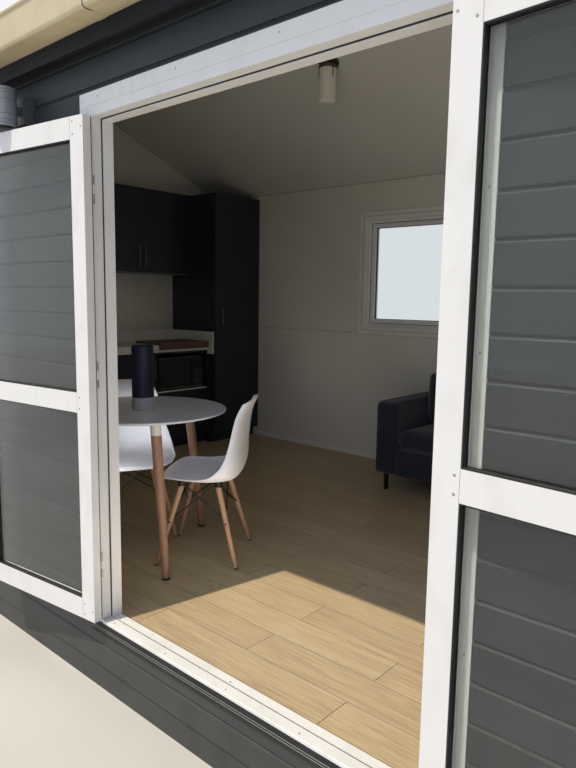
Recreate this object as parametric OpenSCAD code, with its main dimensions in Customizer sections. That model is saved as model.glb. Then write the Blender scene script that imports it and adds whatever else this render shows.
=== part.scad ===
// Small weatherboard cabin with an outward-opening pair of glazed doors.
// Origin: middle of the footprint, at ground level. Front is -Y, +Z is up.

/* [Cabin] */
// Outside length of the cabin along its front
cabin_l = 6000; // [5600:50:7200]
// Outside depth of the cabin, front wall to back wall
cabin_d = 3120; // [3100:20:3400]
// Thickness of the framed and lined walls
wall_t = 80; // [70:5:110]
// Height of the finished floor above the ground
floor_z = 300; // [240:10:500]
// Ceiling height where it meets the front and back walls
ceiling_h = 2228; // [2150:5:2400]
// Pitch of both roof slopes, in degrees
roof_pitch = 23.5; // [15:0.5:30]
// Thickness of the lined and insulated roof slopes
roof_t = 100; // [80:5:150]

/* [Door set] */
// Distance of the door frame's left edge from the middle of the front
door_x = -289; // [-400:1:0]
// Width over the door frame
door_w = 1635; // [1500:5:1800]
// Height over the door frame
door_h = 2030; // [1980:5:2100]
// How far the left leaf stands open at rest, in degrees
left_open = 173.4; // [120:0.1:174]
// How far the right leaf stands open at rest, in degrees
right_open = 174.5; // [120:0.1:175]
// Thickness of a leaf
leaf_t = 38; // [34:1:40]

/* [Window] */
// Middle of the back window along the wall
window_x = -750; // [-1200:10:400]
// Middle of the back window above the floor
window_mid = 1510; // [1400:5:1600]
// Width of the window frame's body
window_w = 730; // [600:10:900]
// Height of the window frame's body
window_h = 860; // [700:10:1000]

/* [Furniture] */
// Height of the bench top above the floor
bench_h = 900; // [860:5:950]
// Radius of the round table
table_r = 410; // [350:5:450]
// Height of the table above the floor
table_h = 742; // [700:2:780]
// Length of the sofa
sofa_l = 1900; // [1500:50:2200]

/* [Hidden] */

hx = cabin_l / 2;
hy = cabin_d / 2;
in_x = hx - wall_t;
in_y = hy - wall_t;
rise = tan(roof_pitch);
roof_v = roof_t / cos(roof_pitch);
ceil_z = floor_z + ceiling_h;
fit = 1;
contact = 0.02;

// Height of the ceiling line at a distance y from the middle of the cabin
function slope_z(y) = ceil_z + (in_y - abs(y)) * rise;

// Floor and base
bearer_h = 120;
bearer_w = 90;
floor_t = 30;
base_board_t = 18;
joist_w = 45;
joist_count = 12;
plat_x = hx - base_board_t;
plat_y = hy - base_board_t;

// Roof edges
verge = 60;
eave = 70;
board_t = 18;
rib_pitch = 200;
rib_h = 29;
sheet_t = 3;
sheet_over = 45;
gutter_w = 92;
gutter_h = 127;
gutter_t = 3;
gutter_r = 12;
gutter_z = floor_z + 2200;
eave_y = hy + eave;
fascia_y = eave_y + board_t;

// Door frame section: flange, rebate and stop
face_y = -hy - 10;
jamb_face = 73;
head_face = 84;
flange_over = 30;
flange_t = 10;
rebate_d = 44;
stop_step = 7;
frame_d = 88;
gap = 6;
door_x1 = door_x + door_w;
door_top = floor_z + door_h;
leaf_w = (door_w - 2 * jamb_face - 3 * gap) / 2;
leaf_z = floor_z + 24;
leaf_top = door_top - head_face - gap;
stile = 73;
top_rail = 79;
mid_rail_z = floor_z + 855;
mid_rail = 78;
bottom_rail = 83;
glass_t = 8;
bead = 12;

// Door hinges
pin_r = 4;
bore_r = 4.05;
knuckle_r = 6;
pin_out = 6.5;
pin_in = 13;
hinge_h = 100;
flap = 45;
flap_t = 3;
hinge_zs = [floor_z + 247, floor_z + 1001, floor_z + 1686];
left_pin = [door_x + jamb_face + pin_in, face_y - pin_out];
right_pin = [door_x1 - jamb_face - pin_in, face_y - pin_out];

// Kitchen along the left end wall
tall_w = 544;
tall_d = 600;
tall_top = floor_z + 2195;
tall_y = in_y - tall_w;
unit_len = 1090;
unit_y = tall_y - unit_len;
bench_d = 514;
bench_t = 60;
bench_z = floor_z + bench_h;
kick_h = 85;
niche_y = tall_y - 554;
niche_z = floor_z + 510;
wall_unit_d = 278;
wall_unit_z = floor_z + 1500;

// Round table and its two chairs
table_at = [-718, -989];
table_t = 16;
legs_at = [-734, -975];
leg_turns = [-24, 96, 216];
chair_spots = [[-488, -809, -55], [-1004, -868, 63]];

// Solid drawn as a section in Y and Z, carried along X from x0
module x_prism(x0, len, pts) {
    translate([x0, 0, 0]) rotate([90, 0, 90]) linear_extrude(len) polygon(pts);
}

// Solid drawn as a section in X and Z, carried along Y from y0
module y_prism(y0, len, pts) {
    translate([0, y0 + len, 0]) rotate([90, 0, 0]) linear_extrude(len) polygon(pts);
}

// Box given by its two corners
module block(a, b) {
    translate(a) cube(b - a);
}

// Copy of the children on the other side of the middle plane y = 0
module both_long_sides() {
    children();
    mirror([0, 1, 0]) children();
}

// Copy of the children on the other side of the middle plane x = 0
module both_ends() {
    children();
    mirror([1, 0, 0]) children();
}

// Three timber bearers that the cabin stands on
module bearers() {
    color("burlywood") for (y = [-plat_y + 150, 0, plat_y - 150])
        block([-plat_x, y - bearer_w / 2, 0], [plat_x, y + bearer_w / 2, bearer_h]);
}

// Joists across the bearers, between two rim joists
module joists() {
    joist_top = floor_z - floor_t;
    color("burlywood") {
        both_long_sides()
            block([-plat_x, plat_y - joist_w, bearer_h], [plat_x, plat_y, joist_top]);
        for (i = [0:joist_count - 1]) {
            x = -plat_x + i * (2 * plat_x - joist_w) / (joist_count - 1);
            y = plat_y - joist_w - fit;
            block([x, -y, bearer_h], [x + joist_w, y, joist_top]);
        }
    }
}

// Floor panel over the whole platform
module floor_panel() {
    color("tan") block([-hx, -hy, floor_z - floor_t], [hx, hy, floor_z]);
}

// Boards that close the underfloor, with a mitre gap at each corner
module base_boards() {
    top = floor_z - floor_t;
    color("dimgray") {
        both_long_sides() block([-hx, plat_y, 0], [hx, hy, top]);
        both_ends() block([plat_x, fit - plat_y, 0], [hx, plat_y - fit, top]);
    }
}

// Section of the front wall, cut to the roof slope at its top
function wall_section(z0) = [[-hy, z0], [-in_y, z0], [-in_y, slope_z(in_y) - contact],
    [-hy, slope_z(hy) - contact]];

module front_wall_left() {
    color("darkslategray")
        x_prism(-in_x, door_x + flange_over - fit + in_x, wall_section(floor_z));
}

module front_wall_right() {
    color("darkslategray")
        x_prism(door_x1 - flange_over + fit, in_x - door_x1 + flange_over - fit,
            wall_section(floor_z));
}

module front_wall_header() {
    color("darkslategray")
        x_prism(door_x + flange_over - fit, door_w - 2 * flange_over + 2 * fit,
            wall_section(door_top - flange_over + fit));
}

// Back wall with the window cut through it
module back_wall() {
    wz = floor_z + window_mid;
    color("darkslategray") difference() {
        mirror([0, 1, 0]) x_prism(-in_x, 2 * in_x, wall_section(floor_z));
        block([window_x - window_w / 2 - fit, 0, wz - window_h / 2 - fit],
            [window_x + window_w / 2 + fit, hy + fit, wz + window_h / 2 + fit]);
    }
}

// Gable end, a pentagon up to the underside of the roof slopes
module end_wall(x0) {
    color("darkslategray")
        x_prism(x0, wall_t, [[-hy, floor_z], [hy, floor_z], [hy, slope_z(hy) - contact],
            [0, slope_z(0) - contact], [-hy, slope_z(hy) - contact]]);
}

// One roof slope with the ceiling as its underside
module roof_slope() {
    color("ivory")
        x_prism(-hx - verge, 2 * (hx + verge), [[-eave_y, slope_z(eave_y)],
            [0, slope_z(0)], [0, slope_z(0) + roof_v], [-eave_y, slope_z(eave_y) + roof_v]]);
}

// Outline of long-run steel: flat pans with one trapezoid rib at every pitch
function rib(x, z) = [[x - 26, z], [x - 12, z + rib_h], [x + 12, z + rib_h], [x + 26, z]];
function sheet_line(n, x0, z) = [for (i = [0:n - 1]) each rib(x0 + i * rib_pitch, z)];
function backward(p) = [for (i = [len(p) - 1:-1:0]) p[i]];

module roof_sheet() {
    run = (eave_y + sheet_over) / cos(roof_pitch);
    half = hx + verge;
    n = floor(2 * (half - 30) / rib_pitch) + 1;
    x0 = -(n - 1) * rib_pitch / 2;
    y0 = -eave_y - sheet_over;
    z0 = slope_z(0) - (eave_y + sheet_over) * rise + roof_v + contact;
    top = concat([[-half, sheet_t]], sheet_line(n, x0, sheet_t), [[half, sheet_t]]);
    low = concat([[-half, 0]], sheet_line(n, x0, 0), [[half, 0]]);
    color("slategray") translate([0, y0, z0]) rotate([roof_pitch, 0, 0])
        rotate([90, 0, 180]) linear_extrude(run - 12) polygon(concat(top, backward(low)));
}

// Folded cap over the ridge, its wings lying on the ribs
module ridge_cap() {
    wing = 190;
    lift = roof_v + (rib_h + sheet_t) / cos(roof_pitch) + 2 * contact;
    z0 = slope_z(0) + lift;
    drop = wing * rise;
    color("slategray")
        x_prism(-hx - verge, 2 * (hx + verge), [[-wing, z0 - drop], [0, z0],
            [wing, z0 - drop], [wing, z0 - drop + 3], [0, z0 + 3], [-wing, z0 - drop + 3]]);
}

// Boards on the rafter ends, front and back
module eave_fascias() {
    z0 = slope_z(eave_y) - 22;
    color("dimgray") both_long_sides()
        block([-hx - verge, eave_y, z0],
            [hx + verge, fascia_y, slope_z(eave_y) + roof_v - 8]);
}

// Boards up both slopes of each gable, with a saw cut left at the ridge
module barge_boards() {
    low = 22;
    top = roof_v + 34;
    color("dimgray") both_ends() both_long_sides()
        x_prism(hx + verge, board_t, [[1, slope_z(0) - low], [1, slope_z(0) + top],
            [fascia_y, slope_z(fascia_y) + top], [fascia_y, slope_z(fascia_y) - low]]);
}

// Quarter circle in steps, from straight down to straight out
function front_corner(y, z, r) = [for (i = [0:4]) [y - r + r * sin(22.5 * i),
    z + r - r * cos(22.5 * i)]];

// High-fronted eaves gutter: rounded lower corner, returned lip, and closed ends
module gutter() {
    y0 = fascia_y;
    y1 = y0 + gutter_w;
    z1 = gutter_z + gutter_h;
    t = gutter_t;
    lip = 12;
    back_z = gutter_z + 57;
    half = hx + verge + board_t;
    outer = front_corner(y1, gutter_z, gutter_r);
    inner = front_corner(y1 - t, gutter_z + t, gutter_r - t);
    section = concat([[y0, gutter_z]], outer, [[y1, z1], [y1 - lip, z1], [y1 - lip, z1 - 8],
        [y1 - t, z1 - 8]], backward(inner), [[y0 + t, gutter_z + t], [y0 + t, back_z],
        [y0, back_z]]);
    color("cornsilk") {
        x_prism(-half, 2 * half, section);
        both_ends() x_prism(half - t, t, concat([[y0, gutter_z]], outer,
            [[y1, z1 - lip], [y0, back_z]]));
    }
}

module gutters() {
    both_long_sides() gutter();
}

// Boxed corner boards that the cladding stops against
module corner_trims() {
    w = 70;
    t = 22;
    z0 = 190;
    color("dimgray") both_ends() both_long_sides() translate([0, 0, z0])
        linear_extrude(slope_z(hy + t) - z0) polygon([[hx, hy], [hx - w, hy],
            [hx - w, hy + t], [hx + t, hy + t], [hx + t, hy - w], [hx, hy - w]]);
}

// Jambs and head of the door set: face flange, rebate for the leaves and stop
module door_frame() {
    y0 = face_y;
    x0 = door_x;
    x1 = door_x1;
    inner = flange_over;
    color("white") difference() {
        union() {
            block([x0, y0, floor_z], [x1, y0 + flange_t - 0.5, door_top]);
            block([x0 + inner, y0, floor_z], [x1 - inner, y0 + frame_d, door_top - inner]);
        }
        block([x0 + jamb_face, y0 - 1, floor_z - 1],
            [x1 - jamb_face, y0 + rebate_d, door_top - head_face]);
        block([x0 + jamb_face + stop_step, y0, floor_z - 1],
            [x1 - jamb_face - stop_step, y0 + frame_d + 1, door_top - head_face - stop_step]);
        face_groove();
    }
}

// Shallow groove that runs round the face of the frame
module face_groove() {
    out = 48;
    w = 3;
    y0 = face_y - 1;
    depth = 2.5;
    z1 = door_top - out;
    xa = door_x + 0.58 * jamb_face;
    xb = door_x1 - 0.58 * jamb_face;
    block([xa, y0, z1 - w], [xb, y0 + depth, z1]);
    for (x = [xa, xb - w]) block([x, y0, floor_z - 1], [x + w, y0 + depth, z1]);
}

// Sill between the jambs: sloped nose, seal groove and ribbed tread
module door_sill() {
    x0 = door_x + jamb_face + stop_step + 0.5;
    len = door_w - 2 * (jamb_face + stop_step + 0.5);
    a = face_y - 2;
    z = floor_z;
    rib_w = 5;
    ribs = [for (i = [0:3]) each [[a + 52 + 9 * i, z + 8], [a + 52 + 9 * i, z + 10],
        [a + 52 + rib_w + 9 * i, z + 10], [a + 52 + rib_w + 9 * i, z + 8]]];
    section = concat([[a, z], [a, z + 9], [a + 3, z + 11], [a + 42, z + 12], [a + 42, z + 8],
        [a + 46, z + 8], [a + 46, z + 12], [a + 50, z + 12], [a + 50, z + 8]], ribs,
        [[a + frame_d, z + 7], [a + frame_d, z + 0.2], [a + 12, z + 0.2], [a + 12, z]]);
    color("white") x_prism(x0, len, section);
}

// Leaf of a hinge lying on the face behind it, on the +X side of the pin
module hinge_flap(z, tab_z, tab_h) {
    back = pin_out;
    block([knuckle_r + 1.5, back - flap_t, z - hinge_h / 2], [flap, back, z + hinge_h / 2]);
    block([0, back - flap_t, tab_z], [knuckle_r + 2, back, tab_z + tab_h]);
}

// Fixed half of each hinge: pin, outer knuckles and a flap on the frame's face
module fixed_hinge(z) {
    third = hinge_h / 3;
    for (k = [-1.5, 0.5]) {
        translate([0, 0, z + k * third]) cylinder(r = knuckle_r, h = third - 0.5, $fn = 48);
        mirror([1, 0, 0]) hinge_flap(z, z + k * third, third - 0.5);
    }
    translate([0, 0, z - hinge_h / 2]) cylinder(r = pin_r, h = hinge_h, $fn = 48);
}

module hinge_pins() {
    color("white") {
        translate([left_pin[0], left_pin[1], 0]) for (z = hinge_zs) fixed_hinge(z);
        translate([right_pin[0], right_pin[1], 0]) mirror([1, 0, 0])
            for (z = hinge_zs) fixed_hinge(z);
    }
}

// Moving half of each hinge: the bored middle knuckle and a flap on the stile
module moving_hinge(z) {
    third = hinge_h / 3;
    z0 = z - third / 2 + 0.5;
    difference() {
        union() {
            translate([0, 0, z0]) cylinder(r = knuckle_r, h = third - 1.5, $fn = 48);
            hinge_flap(z, z0, third - 1.5);
        }
        translate([0, 0, z - hinge_h / 2]) cylinder(r = bore_r, h = hinge_h, $fn = 48);
    }
}

// Stiles and rails of a leaf hung at the origin, closed along +X
module leaf_frame() {
    x0 = gap - pin_in;
    x1 = x0 + leaf_w;
    y0 = pin_out;
    ym = y0 + (leaf_t - glass_t) / 2;
    panes = [[leaf_z + bottom_rail, mid_rail_z], [mid_rail_z + mid_rail, leaf_top - top_rail]];
    color("white") {
        difference() {
            block([x0, y0, leaf_z], [x1, y0 + leaf_t, leaf_top]);
            for (p = panes) {
                block([x0 + stile, y0 - 1, p[0]], [x1 - stile, y0 + leaf_t + 1, p[1]]);
                block([x0 + stile - bead, ym, p[0] - bead],
                    [x1 - stile + bead, ym + glass_t, p[1] + bead]);
            }
        }
        for (z = hinge_zs) moving_hinge(z);
    }
}

// Two panes held in the leaf's glazing groove
module leaf_glass() {
    x0 = gap - pin_in;
    x1 = x0 + leaf_w;
    y0 = pin_out + (leaf_t - glass_t) / 2;
    panes = [[leaf_z + bottom_rail, mid_rail_z], [mid_rail_z + mid_rail, leaf_top - top_rail]];
    color("lightblue", 0.4) for (p = panes)
        block([x0 + stile - bead, y0, p[0] - bead],
            [x1 - stile + bead, y0 + glass_t, p[1] + bead]);
}

// Places a leaf at its rest angle: side 1 is the left leaf, side -1 the right
module hung(side) {
    pin = side == 1 ? left_pin : right_pin;
    turn = side == 1 ? -left_open : right_open;
    translate([pin[0], pin[1], 0]) rotate([0, 0, turn])
        mirror([side == 1 ? 0 : 1, 0, 0]) children();
}

// Lever handle on both faces of the right leaf, each on its long plate
module door_handle() {
    x = gap - pin_in + leaf_w - stile / 2;
    z = mid_rail_z + mid_rail / 2;
    plate = 9;
    reach = 44;
    mid = pin_out + leaf_t / 2;
    color("silver") hung(-1) for (s = [0, 1]) translate([x, mid, z]) mirror([0, s, 0]) {
        y = leaf_t / 2;
        hull() for (dz = [-58, 58]) translate([0, y, dz]) rotate([-90, 0, 0])
            cylinder(r = 14, h = plate, $fn = 32);
        translate([0, y, 0]) rotate([-90, 0, 0]) cylinder(r = 10, h = reach, $fn = 32);
        translate([6, y + reach - 8, 0]) rotate([0, -90, 0]) cylinder(r = 8, h = 118, $fn = 32);
    }
}

// Ring in the plane of the back wall, from its middle line out to w by h
module ring_y(w, h, bar, y0, y1) {
    z = floor_z + window_mid;
    difference() {
        block([window_x - w / 2, y0, z - h / 2], [window_x + w / 2, y1, z + h / 2]);
        block([window_x - w / 2 + bar, y0 - 1, z - h / 2 + bar],
            [window_x + w / 2 - bar, y1 + 1, z + h / 2 - bar]);
    }
}

// Window frame: body in the wall and flange over the cladding
module window_frame() {
    color("white") union() {
        ring_y(window_w, window_h, 35, in_y + 22, hy + 10);
        ring_y(window_w + 2 * flange_over, window_h + 2 * flange_over, flange_over + 5,
            hy, hy + 10);
    }
}

// Opening sash, shut, with its catch in the middle of the bottom rail
module window_sash() {
    w = window_w - 74;
    h = window_h - 74;
    z = floor_z + window_mid - h / 2 + 15;
    color("white") {
        difference() {
            ring_y(w, h, 30, in_y + 30, hy + 6);
            ring_y(w - 40, h - 40, 12, in_y + 53, in_y + 61);
        }
        block([window_x - 32, in_y + 18, z - 6], [window_x + 32, in_y + 30.5, z + 6]);
        block([window_x - 9, in_y + 8, z - 8], [window_x + 9, in_y + 18.5, z + 22]);
    }
}

module window_glass() {
    w = window_w - 74 - 40;
    h = window_h - 74 - 40;
    z = floor_z + window_mid;
    color("lightblue", 0.4) block([window_x - w / 2, in_y + 53, z - h / 2],
        [window_x + w / 2, in_y + 61, z + h / 2]);
}

// Moulded trim round the window inside, with the liner behind it
module window_architrave() {
    out = 55;
    color("ivory") union() {
        ring_y(window_w + 2 * out, window_h + 2 * out, out + 6, in_y - 12, in_y);
        ring_y(window_w + 20, window_h + 20, 16, in_y - 18, in_y - 11);
        ring_y(window_w, window_h, 14, in_y - 12, in_y + 22);
    }
}

// Skirting round the room, stopped at the doors and the cupboards
module skirting() {
    h = 42;
    t = 10;
    z1 = floor_z + h;
    color("ivory") {
        block([-in_x + tall_d, in_y - t, floor_z], [in_x, in_y, z1]);
        block([in_x - t, -in_y + t, floor_z], [in_x, in_y - t, z1]);
        block([-in_x, -in_y, floor_z], [door_x + flange_over, -in_y + t, z1]);
        block([door_x1 - flange_over, -in_y, floor_z], [in_x, -in_y + t, z1]);
    }
}

// Base cupboards with a recessed plinth and an open niche for the oven
module kitchen_base() {
    x1 = -in_x + bench_d - 16;
    door_gap = 3;
    top = bench_z - bench_t;
    color("midnightblue") difference() {
        block([-in_x, unit_y, floor_z], [x1, tall_y, top]);
        block([x1 - 50, unit_y - 1, floor_z], [x1 + 1, tall_y, floor_z + kick_h]);
        block([-in_x + 40, niche_y, niche_z], [x1 + 1, tall_y - 18, top - 18]);
        block([x1 - door_gap, niche_y - 9, floor_z], [x1 + 1, niche_y - 6, top]);
        block([x1 - door_gap, niche_y - 9, niche_z - 22], [x1 + 1, tall_y, niche_z - 19]);
        block([x1 - door_gap, unit_y - 1, top - 24], [x1 + 1, niche_y - 6, top - 21]);
    }
}

// White bench top with an upstand on the wall and one on the tall cupboard
module bench_top() {
    x0 = -in_x;
    x1 = -in_x + bench_d;
    up_t = 18;
    up_h = 100;
    y1 = tall_y;
    color("whitesmoke") union() {
        block([x0, unit_y - 10, bench_z - bench_t], [x1, y1, bench_z]);
        block([x0, unit_y - 10, bench_z - 1], [x0 + up_t, y1, bench_z + up_h]);
        block([x0, y1 - up_t, bench_z - 1], [-in_x + tall_d - 20, y1, bench_z + up_h]);
        block([x1 - 5, y1 - up_t, bench_z - 96], [-in_x + tall_d - 20, y1, bench_z + up_h]);
    }
}

// Two wall cupboards with a light strip let into the front of their underside
module wall_cupboards() {
    x1 = -in_x + wall_unit_d;
    seam = tall_y - unit_len / 2;
    color("midnightblue") difference() {
        block([-in_x, unit_y, wall_unit_z], [x1, tall_y, tall_top]);
        block([x1 - 3, seam - 1.5, wall_unit_z - 1], [x1 + 1, seam + 1.5, tall_top + 1]);
        block([x1 - 40, unit_y + 30, wall_unit_z - 1], [x1 - 22, tall_y - 30, wall_unit_z + 8]);
    }
}

// Full-height cupboard in the corner, on a recessed plinth
module tall_cupboard() {
    x1 = -in_x + tall_d;
    color("midnightblue") difference() {
        block([-in_x, tall_y, floor_z], [x1, in_y, tall_top]);
        block([x1 - 60, tall_y - 1, floor_z], [x1 + 1, in_y, floor_z + kick_h]);
        block([x1 - 20, tall_y - 1, floor_z + kick_h - 1], [x1 - 17, tall_y + 4, tall_top + 1]);
    }
}

// One bar handle on two posts, its bar along Z, standing out along +X
module bar_handle(h) {
    stand = 28;
    translate([stand, 0, -h / 2]) cylinder(r = 5, h = h, $fn = 24);
    for (z = [-0.35, 0.35]) translate([0, 0, z * h]) rotate([0, 90, 0])
        cylinder(r = 4, h = stand, $fn = 24);
}

module cupboard_handles() {
    seam = tall_y - unit_len / 2;
    color("gray") {
        for (s = [-1, 1])
            translate([-in_x + wall_unit_d, seam + 28 * s, wall_unit_z + 140]) bar_handle(200);
        translate([-in_x + tall_d, tall_y + 66, floor_z + 1135]) bar_handle(160);
        translate([-in_x + bench_d - 16, niche_y - 40, floor_z + 700]) bar_handle(160);
    }
}

// Small oven on its feet in the niche, with a framed door and a handle
module microwave() {
    x1 = -in_x + bench_d - 20;
    y0 = niche_y + 14;
    y1 = tall_y - 64;
    z0 = niche_z + 14;
    z1 = z0 + 263;
    handle_y = y1 - 109;
    color("dimgray") {
        difference() {
            block([x1 - 360, y0, z0], [x1, y1, z1]);
            block([x1 - 5, y0 + 30, z0 + 34], [x1 + 1, y1 - 130, z1 - 26]);
            block([x1 - 3, y1 - 101, z0 - 1], [x1 + 1, y1 - 99, z1 + 1]);
        }
        translate([x1 + 22, handle_y, z0 + 20]) cylinder(r = 5, h = z1 - z0 - 40, $fn = 24);
        for (z = [z0 + 40, z1 - 40]) translate([x1 - 1, handle_y, z]) rotate([0, 90, 0])
            cylinder(r = 4, h = 24, $fn = 24);
        for (x = [x1 - 330, x1 - 30], y = [y0 + 40, y1 - 40])
            translate([x, y, niche_z]) cylinder(r = 12, h = 15, $fn = 24);
    }
}

// Timber board lying on the bench over the oven, hooked over its front edge by a lip
module timber_board() {
    x1 = -in_x + bench_d;
    t = 20;
    drop = 38;
    color("sienna") y_prism(niche_y + 6, tall_y - 28 - niche_y, [[x1 - 330, bench_z],
        [x1 + fit, bench_z], [x1 + fit, bench_z - drop], [x1 + fit + t, bench_z - drop],
        [x1 + fit + t, bench_z + t], [x1 - 330, bench_z + t]]);
}

// Tall canister on a paler foot, standing on the table
module canister() {
    foot_h = 60;
    h = 320;
    r = 54;
    color("midnightblue") translate([-701, -1009, floor_z + table_h])
        rotate_extrude($fn = 64) polygon([[0, 0], [r - 3, 0], [r - 1, 3], [r - 1, foot_h],
            [r - 4, foot_h + 2], [r, foot_h + 4], [r, h - 6], [r - 5, h], [0, h]]);
}

// Round top with an edge that thins underneath
module table_top() {
    z = floor_z + table_h;
    color("whitesmoke") translate([table_at[0], table_at[1], z]) rotate_extrude($fn = 96)
        polygon([[0, 0], [table_r - 3, 0], [table_r, -3], [table_r, -8],
            [table_r - 26, -table_t], [0, -table_t]]);
}

// Leg that thickens upwards from r[0] to r[1], cut level at its foot and its top
module tapered_leg(foot, top, r) {
    d = top - foot;
    lean = acos(d[2] / norm(d));
    past = 20;
    translate(foot) rotate([0, 0, atan2(d[1], d[0])]) intersection() {
        rotate([0, lean, 0]) translate([0, 0, -past])
            cylinder(r1 = r[0], r2 = r[1], h = norm(d) + 2 * past, $fn = 40);
        block([-60, -60, 0], [200, 60, d[2]]);
    }
}

// Three splayed legs, white at the top and timber below
module table_legs() {
    top_z = table_h - table_t;
    foot_r = 417;
    top_r = 295;
    twist = 3;
    color("tan") translate([legs_at[0], legs_at[1], floor_z]) for (a = leg_turns)
        tapered_leg([foot_r * cos(a), foot_r * sin(a), 0],
            [top_r * cos(a - twist), top_r * sin(a - twist), top_z], [18, 26]);
}

// Point on a smooth curve through hand-set points, for t from 0 to 1
function spline(p, t) = let(n = len(p) - 1, s = min(t * n, n - 0.0001), i = floor(s),
    f = s - i, a = p[max(i - 1, 0)], b = p[i], c = p[i + 1], d = p[min(i + 2, n)])
    0.5 * (2 * b + (c - a) * f + (2 * a - 5 * b + 4 * c - d) * f * f
    + (3 * b - a - 3 * c + d) * f * f * f);

// Shell of the chair: middle line, half width, side lift and side wrap along its length
shell_mid = [[-205, 396], [-196, 416], [-130, 431], [-20, 423], [90, 415], [182, 417],
    [215, 507], [229, 618], [235, 730], [274, 819]];
shell_half = [118, 176, 212, 229, 236, 243, 222, 202, 173, 146];
shell_lift = [0, 4, 14, 26, 42, 60, 40, 12, 0, -20];
shell_wrap = [-8, -4, 0, 0, 4, 32, 60, 38, 32, 38];
shell_t = 5;
shell_nu = 14;
shell_nv = 26;

// Grid point: u runs -1 to 1 across the shell, v runs 0 to 1 from lip to top
function shell_pt(u, v) = let(m = spline(shell_mid, v), w = spline(shell_half, v),
    k = pow(abs(u), 2.4)) [w * sin(u * 90) * (0.86 + 0.14 * abs(u)),
    m[0] - k * spline(shell_wrap, v), m[1] + k * spline(shell_lift, v)];
function unit(a) = a / norm(a);
function shell_normal(u, v) = let(e = 0.01,
    a = shell_pt(min(u + e, 1), v) - shell_pt(max(u - e, -1), v),
    b = shell_pt(u, min(v + e, 1)) - shell_pt(u, max(v - e, 0))) unit(cross(a, b));

module chair_shell() {
    us = [for (i = [0:shell_nu]) -1 + 2 * i / shell_nu];
    vs = [for (j = [0:shell_nv]) j / shell_nv];
    row = shell_nu + 1;
    count = row * (shell_nv + 1);
    top = [for (v = vs) for (u = us) shell_pt(u, v)];
    low = [for (v = vs) for (u = us) shell_pt(u, v) - shell_t * shell_normal(u, v)];
    quads = [for (j = [0:shell_nv - 1]) for (i = [0:shell_nu - 1])
        let(a = j * row + i) [a, a + 1, a + 1 + row, a + row]];
    rim = concat([for (i = [0:shell_nu - 1]) i],
        [for (j = [0:shell_nv - 1]) shell_nu + j * row],
        [for (i = [shell_nu:-1:1]) shell_nv * row + i],
        [for (j = [shell_nv:-1:1]) j * row]);
    faces = concat([for (q = quads) each [[q[2], q[1], q[0]], [q[3], q[2], q[0]]]],
        [for (q = quads) each [[q[0], q[1], q[2]] + count * [1, 1, 1],
            [q[0], q[2], q[3]] + count * [1, 1, 1]]],
        [for (i = [0:len(rim) - 1]) let(a = rim[i], b = rim[(i + 1) % len(rim)])
            each [[a, b, b + count], [a, b + count, a + count]]]);
    polyhedron(concat(top, low), faces, convexity = 6);
}

// Puts the children at each chair's place, turned to its side of the table
module at_chairs() {
    for (c = chair_spots) translate([c[0], c[1], floor_z]) rotate([0, 0, c[2]]) children();
}

module chair_shells() {
    color("white") at_chairs() chair_shell();
}

// Eight-sided wire from point a to point b
module wire(a, b, r) {
    d = b - a;
    translate(a) rotate([0, acos(d[2] / norm(d)), atan2(d[1], d[0])])
        cylinder(r = r, h = norm(d), $fn = 8);
}

// Feet and tops of a chair's four legs
leg_feet = [[-205, -178, 0], [205, -178, 0], [-193, 215, 0], [193, 215, 0]];
leg_tops = [[-128, -70, 385], [128, -70, 385], [-122, 112, 385], [122, 112, 385]];
leg_r = [10, 15];

module chair_legs() {
    color("tan") at_chairs() for (i = [0:3]) tapered_leg(leg_feet[i], leg_tops[i], leg_r);
}

// Wire from the surface of a leg, a little over half way up, to the next leg's mount
module brace(foot, top, mount) {
    r = 3.5;
    up = 0.58;
    side = foot * (1 - up) + top * up;
    end = mount + [0, 0, 16];
    way = unit(end - side);
    slant = abs(way * unit(top - foot));
    leg_side = leg_r[0] * (1 - up) + leg_r[1] * up;
    off = (leg_side + r * slant + 0.6) / sqrt(1 - slant * slant);
    wire(side + way * off, end, r);
}

module chair_bracing() {
    color("black") at_chairs() {
        for (p = [[0, 1], [2, 3], [0, 2], [1, 3]]) {
            brace(leg_feet[p[0]], leg_tops[p[0]], leg_tops[p[1]]);
            brace(leg_feet[p[1]], leg_tops[p[1]], leg_tops[p[0]]);
        }
        for (t = leg_tops) translate(t + [0, 0, contact]) cylinder(r = 18, h = 24, $fn = 12);
    }
}

// Outline of a box with rounded corners, w by h, lower left corner at the origin
function soft_rect(w, h, r, n = 5) = [for (q = [0:3]) for (i = [0:n])
    let(a = 180 + 90 * q + 90 * i / n, cx = (q == 0 || q == 3) ? r : w - r,
    cy = q < 2 ? r : h - r) [cx + r * cos(a), cy + r * sin(a)]];

// Upholstered frame of the sofa: two arms, back and seat base on short legs
module sofa_base() {
    x0 = -485;
    y0 = 752;
    y1 = in_y - 14;
    leg_h = 150;
    z0 = floor_z + leg_h;
    arm_w = 150;
    arm_h = 465;
    back_h = 640;
    color("darkslateblue") union() {
        for (x = [x0, x0 + sofa_l - arm_w]) x_prism(x, arm_w,
            [for (p = soft_rect(y1 - y0, arm_h, 35)) [p[0] + y0, p[1] + z0]]);
        x_prism(x0 + arm_w - 1, sofa_l - 2 * arm_w + 2,
            [for (p = soft_rect(180, back_h, 40)) [p[0] + y1 - 180, p[1] + z0]]);
        x_prism(x0 + arm_w - 1, sofa_l - 2 * arm_w + 2,
            [for (p = soft_rect(y1 - y0 - 100, 150, 12)) [p[0] + y0 + 14, p[1] + z0]]);
        for (x = [x0 + 60, x0 + sofa_l - 60], y = [y0 + 60, y1 - 60])
            translate([x, y, floor_z]) cylinder(r1 = 14, r2 = 22, h = leg_h + 5, $fn = 24);
    }
}

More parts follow.
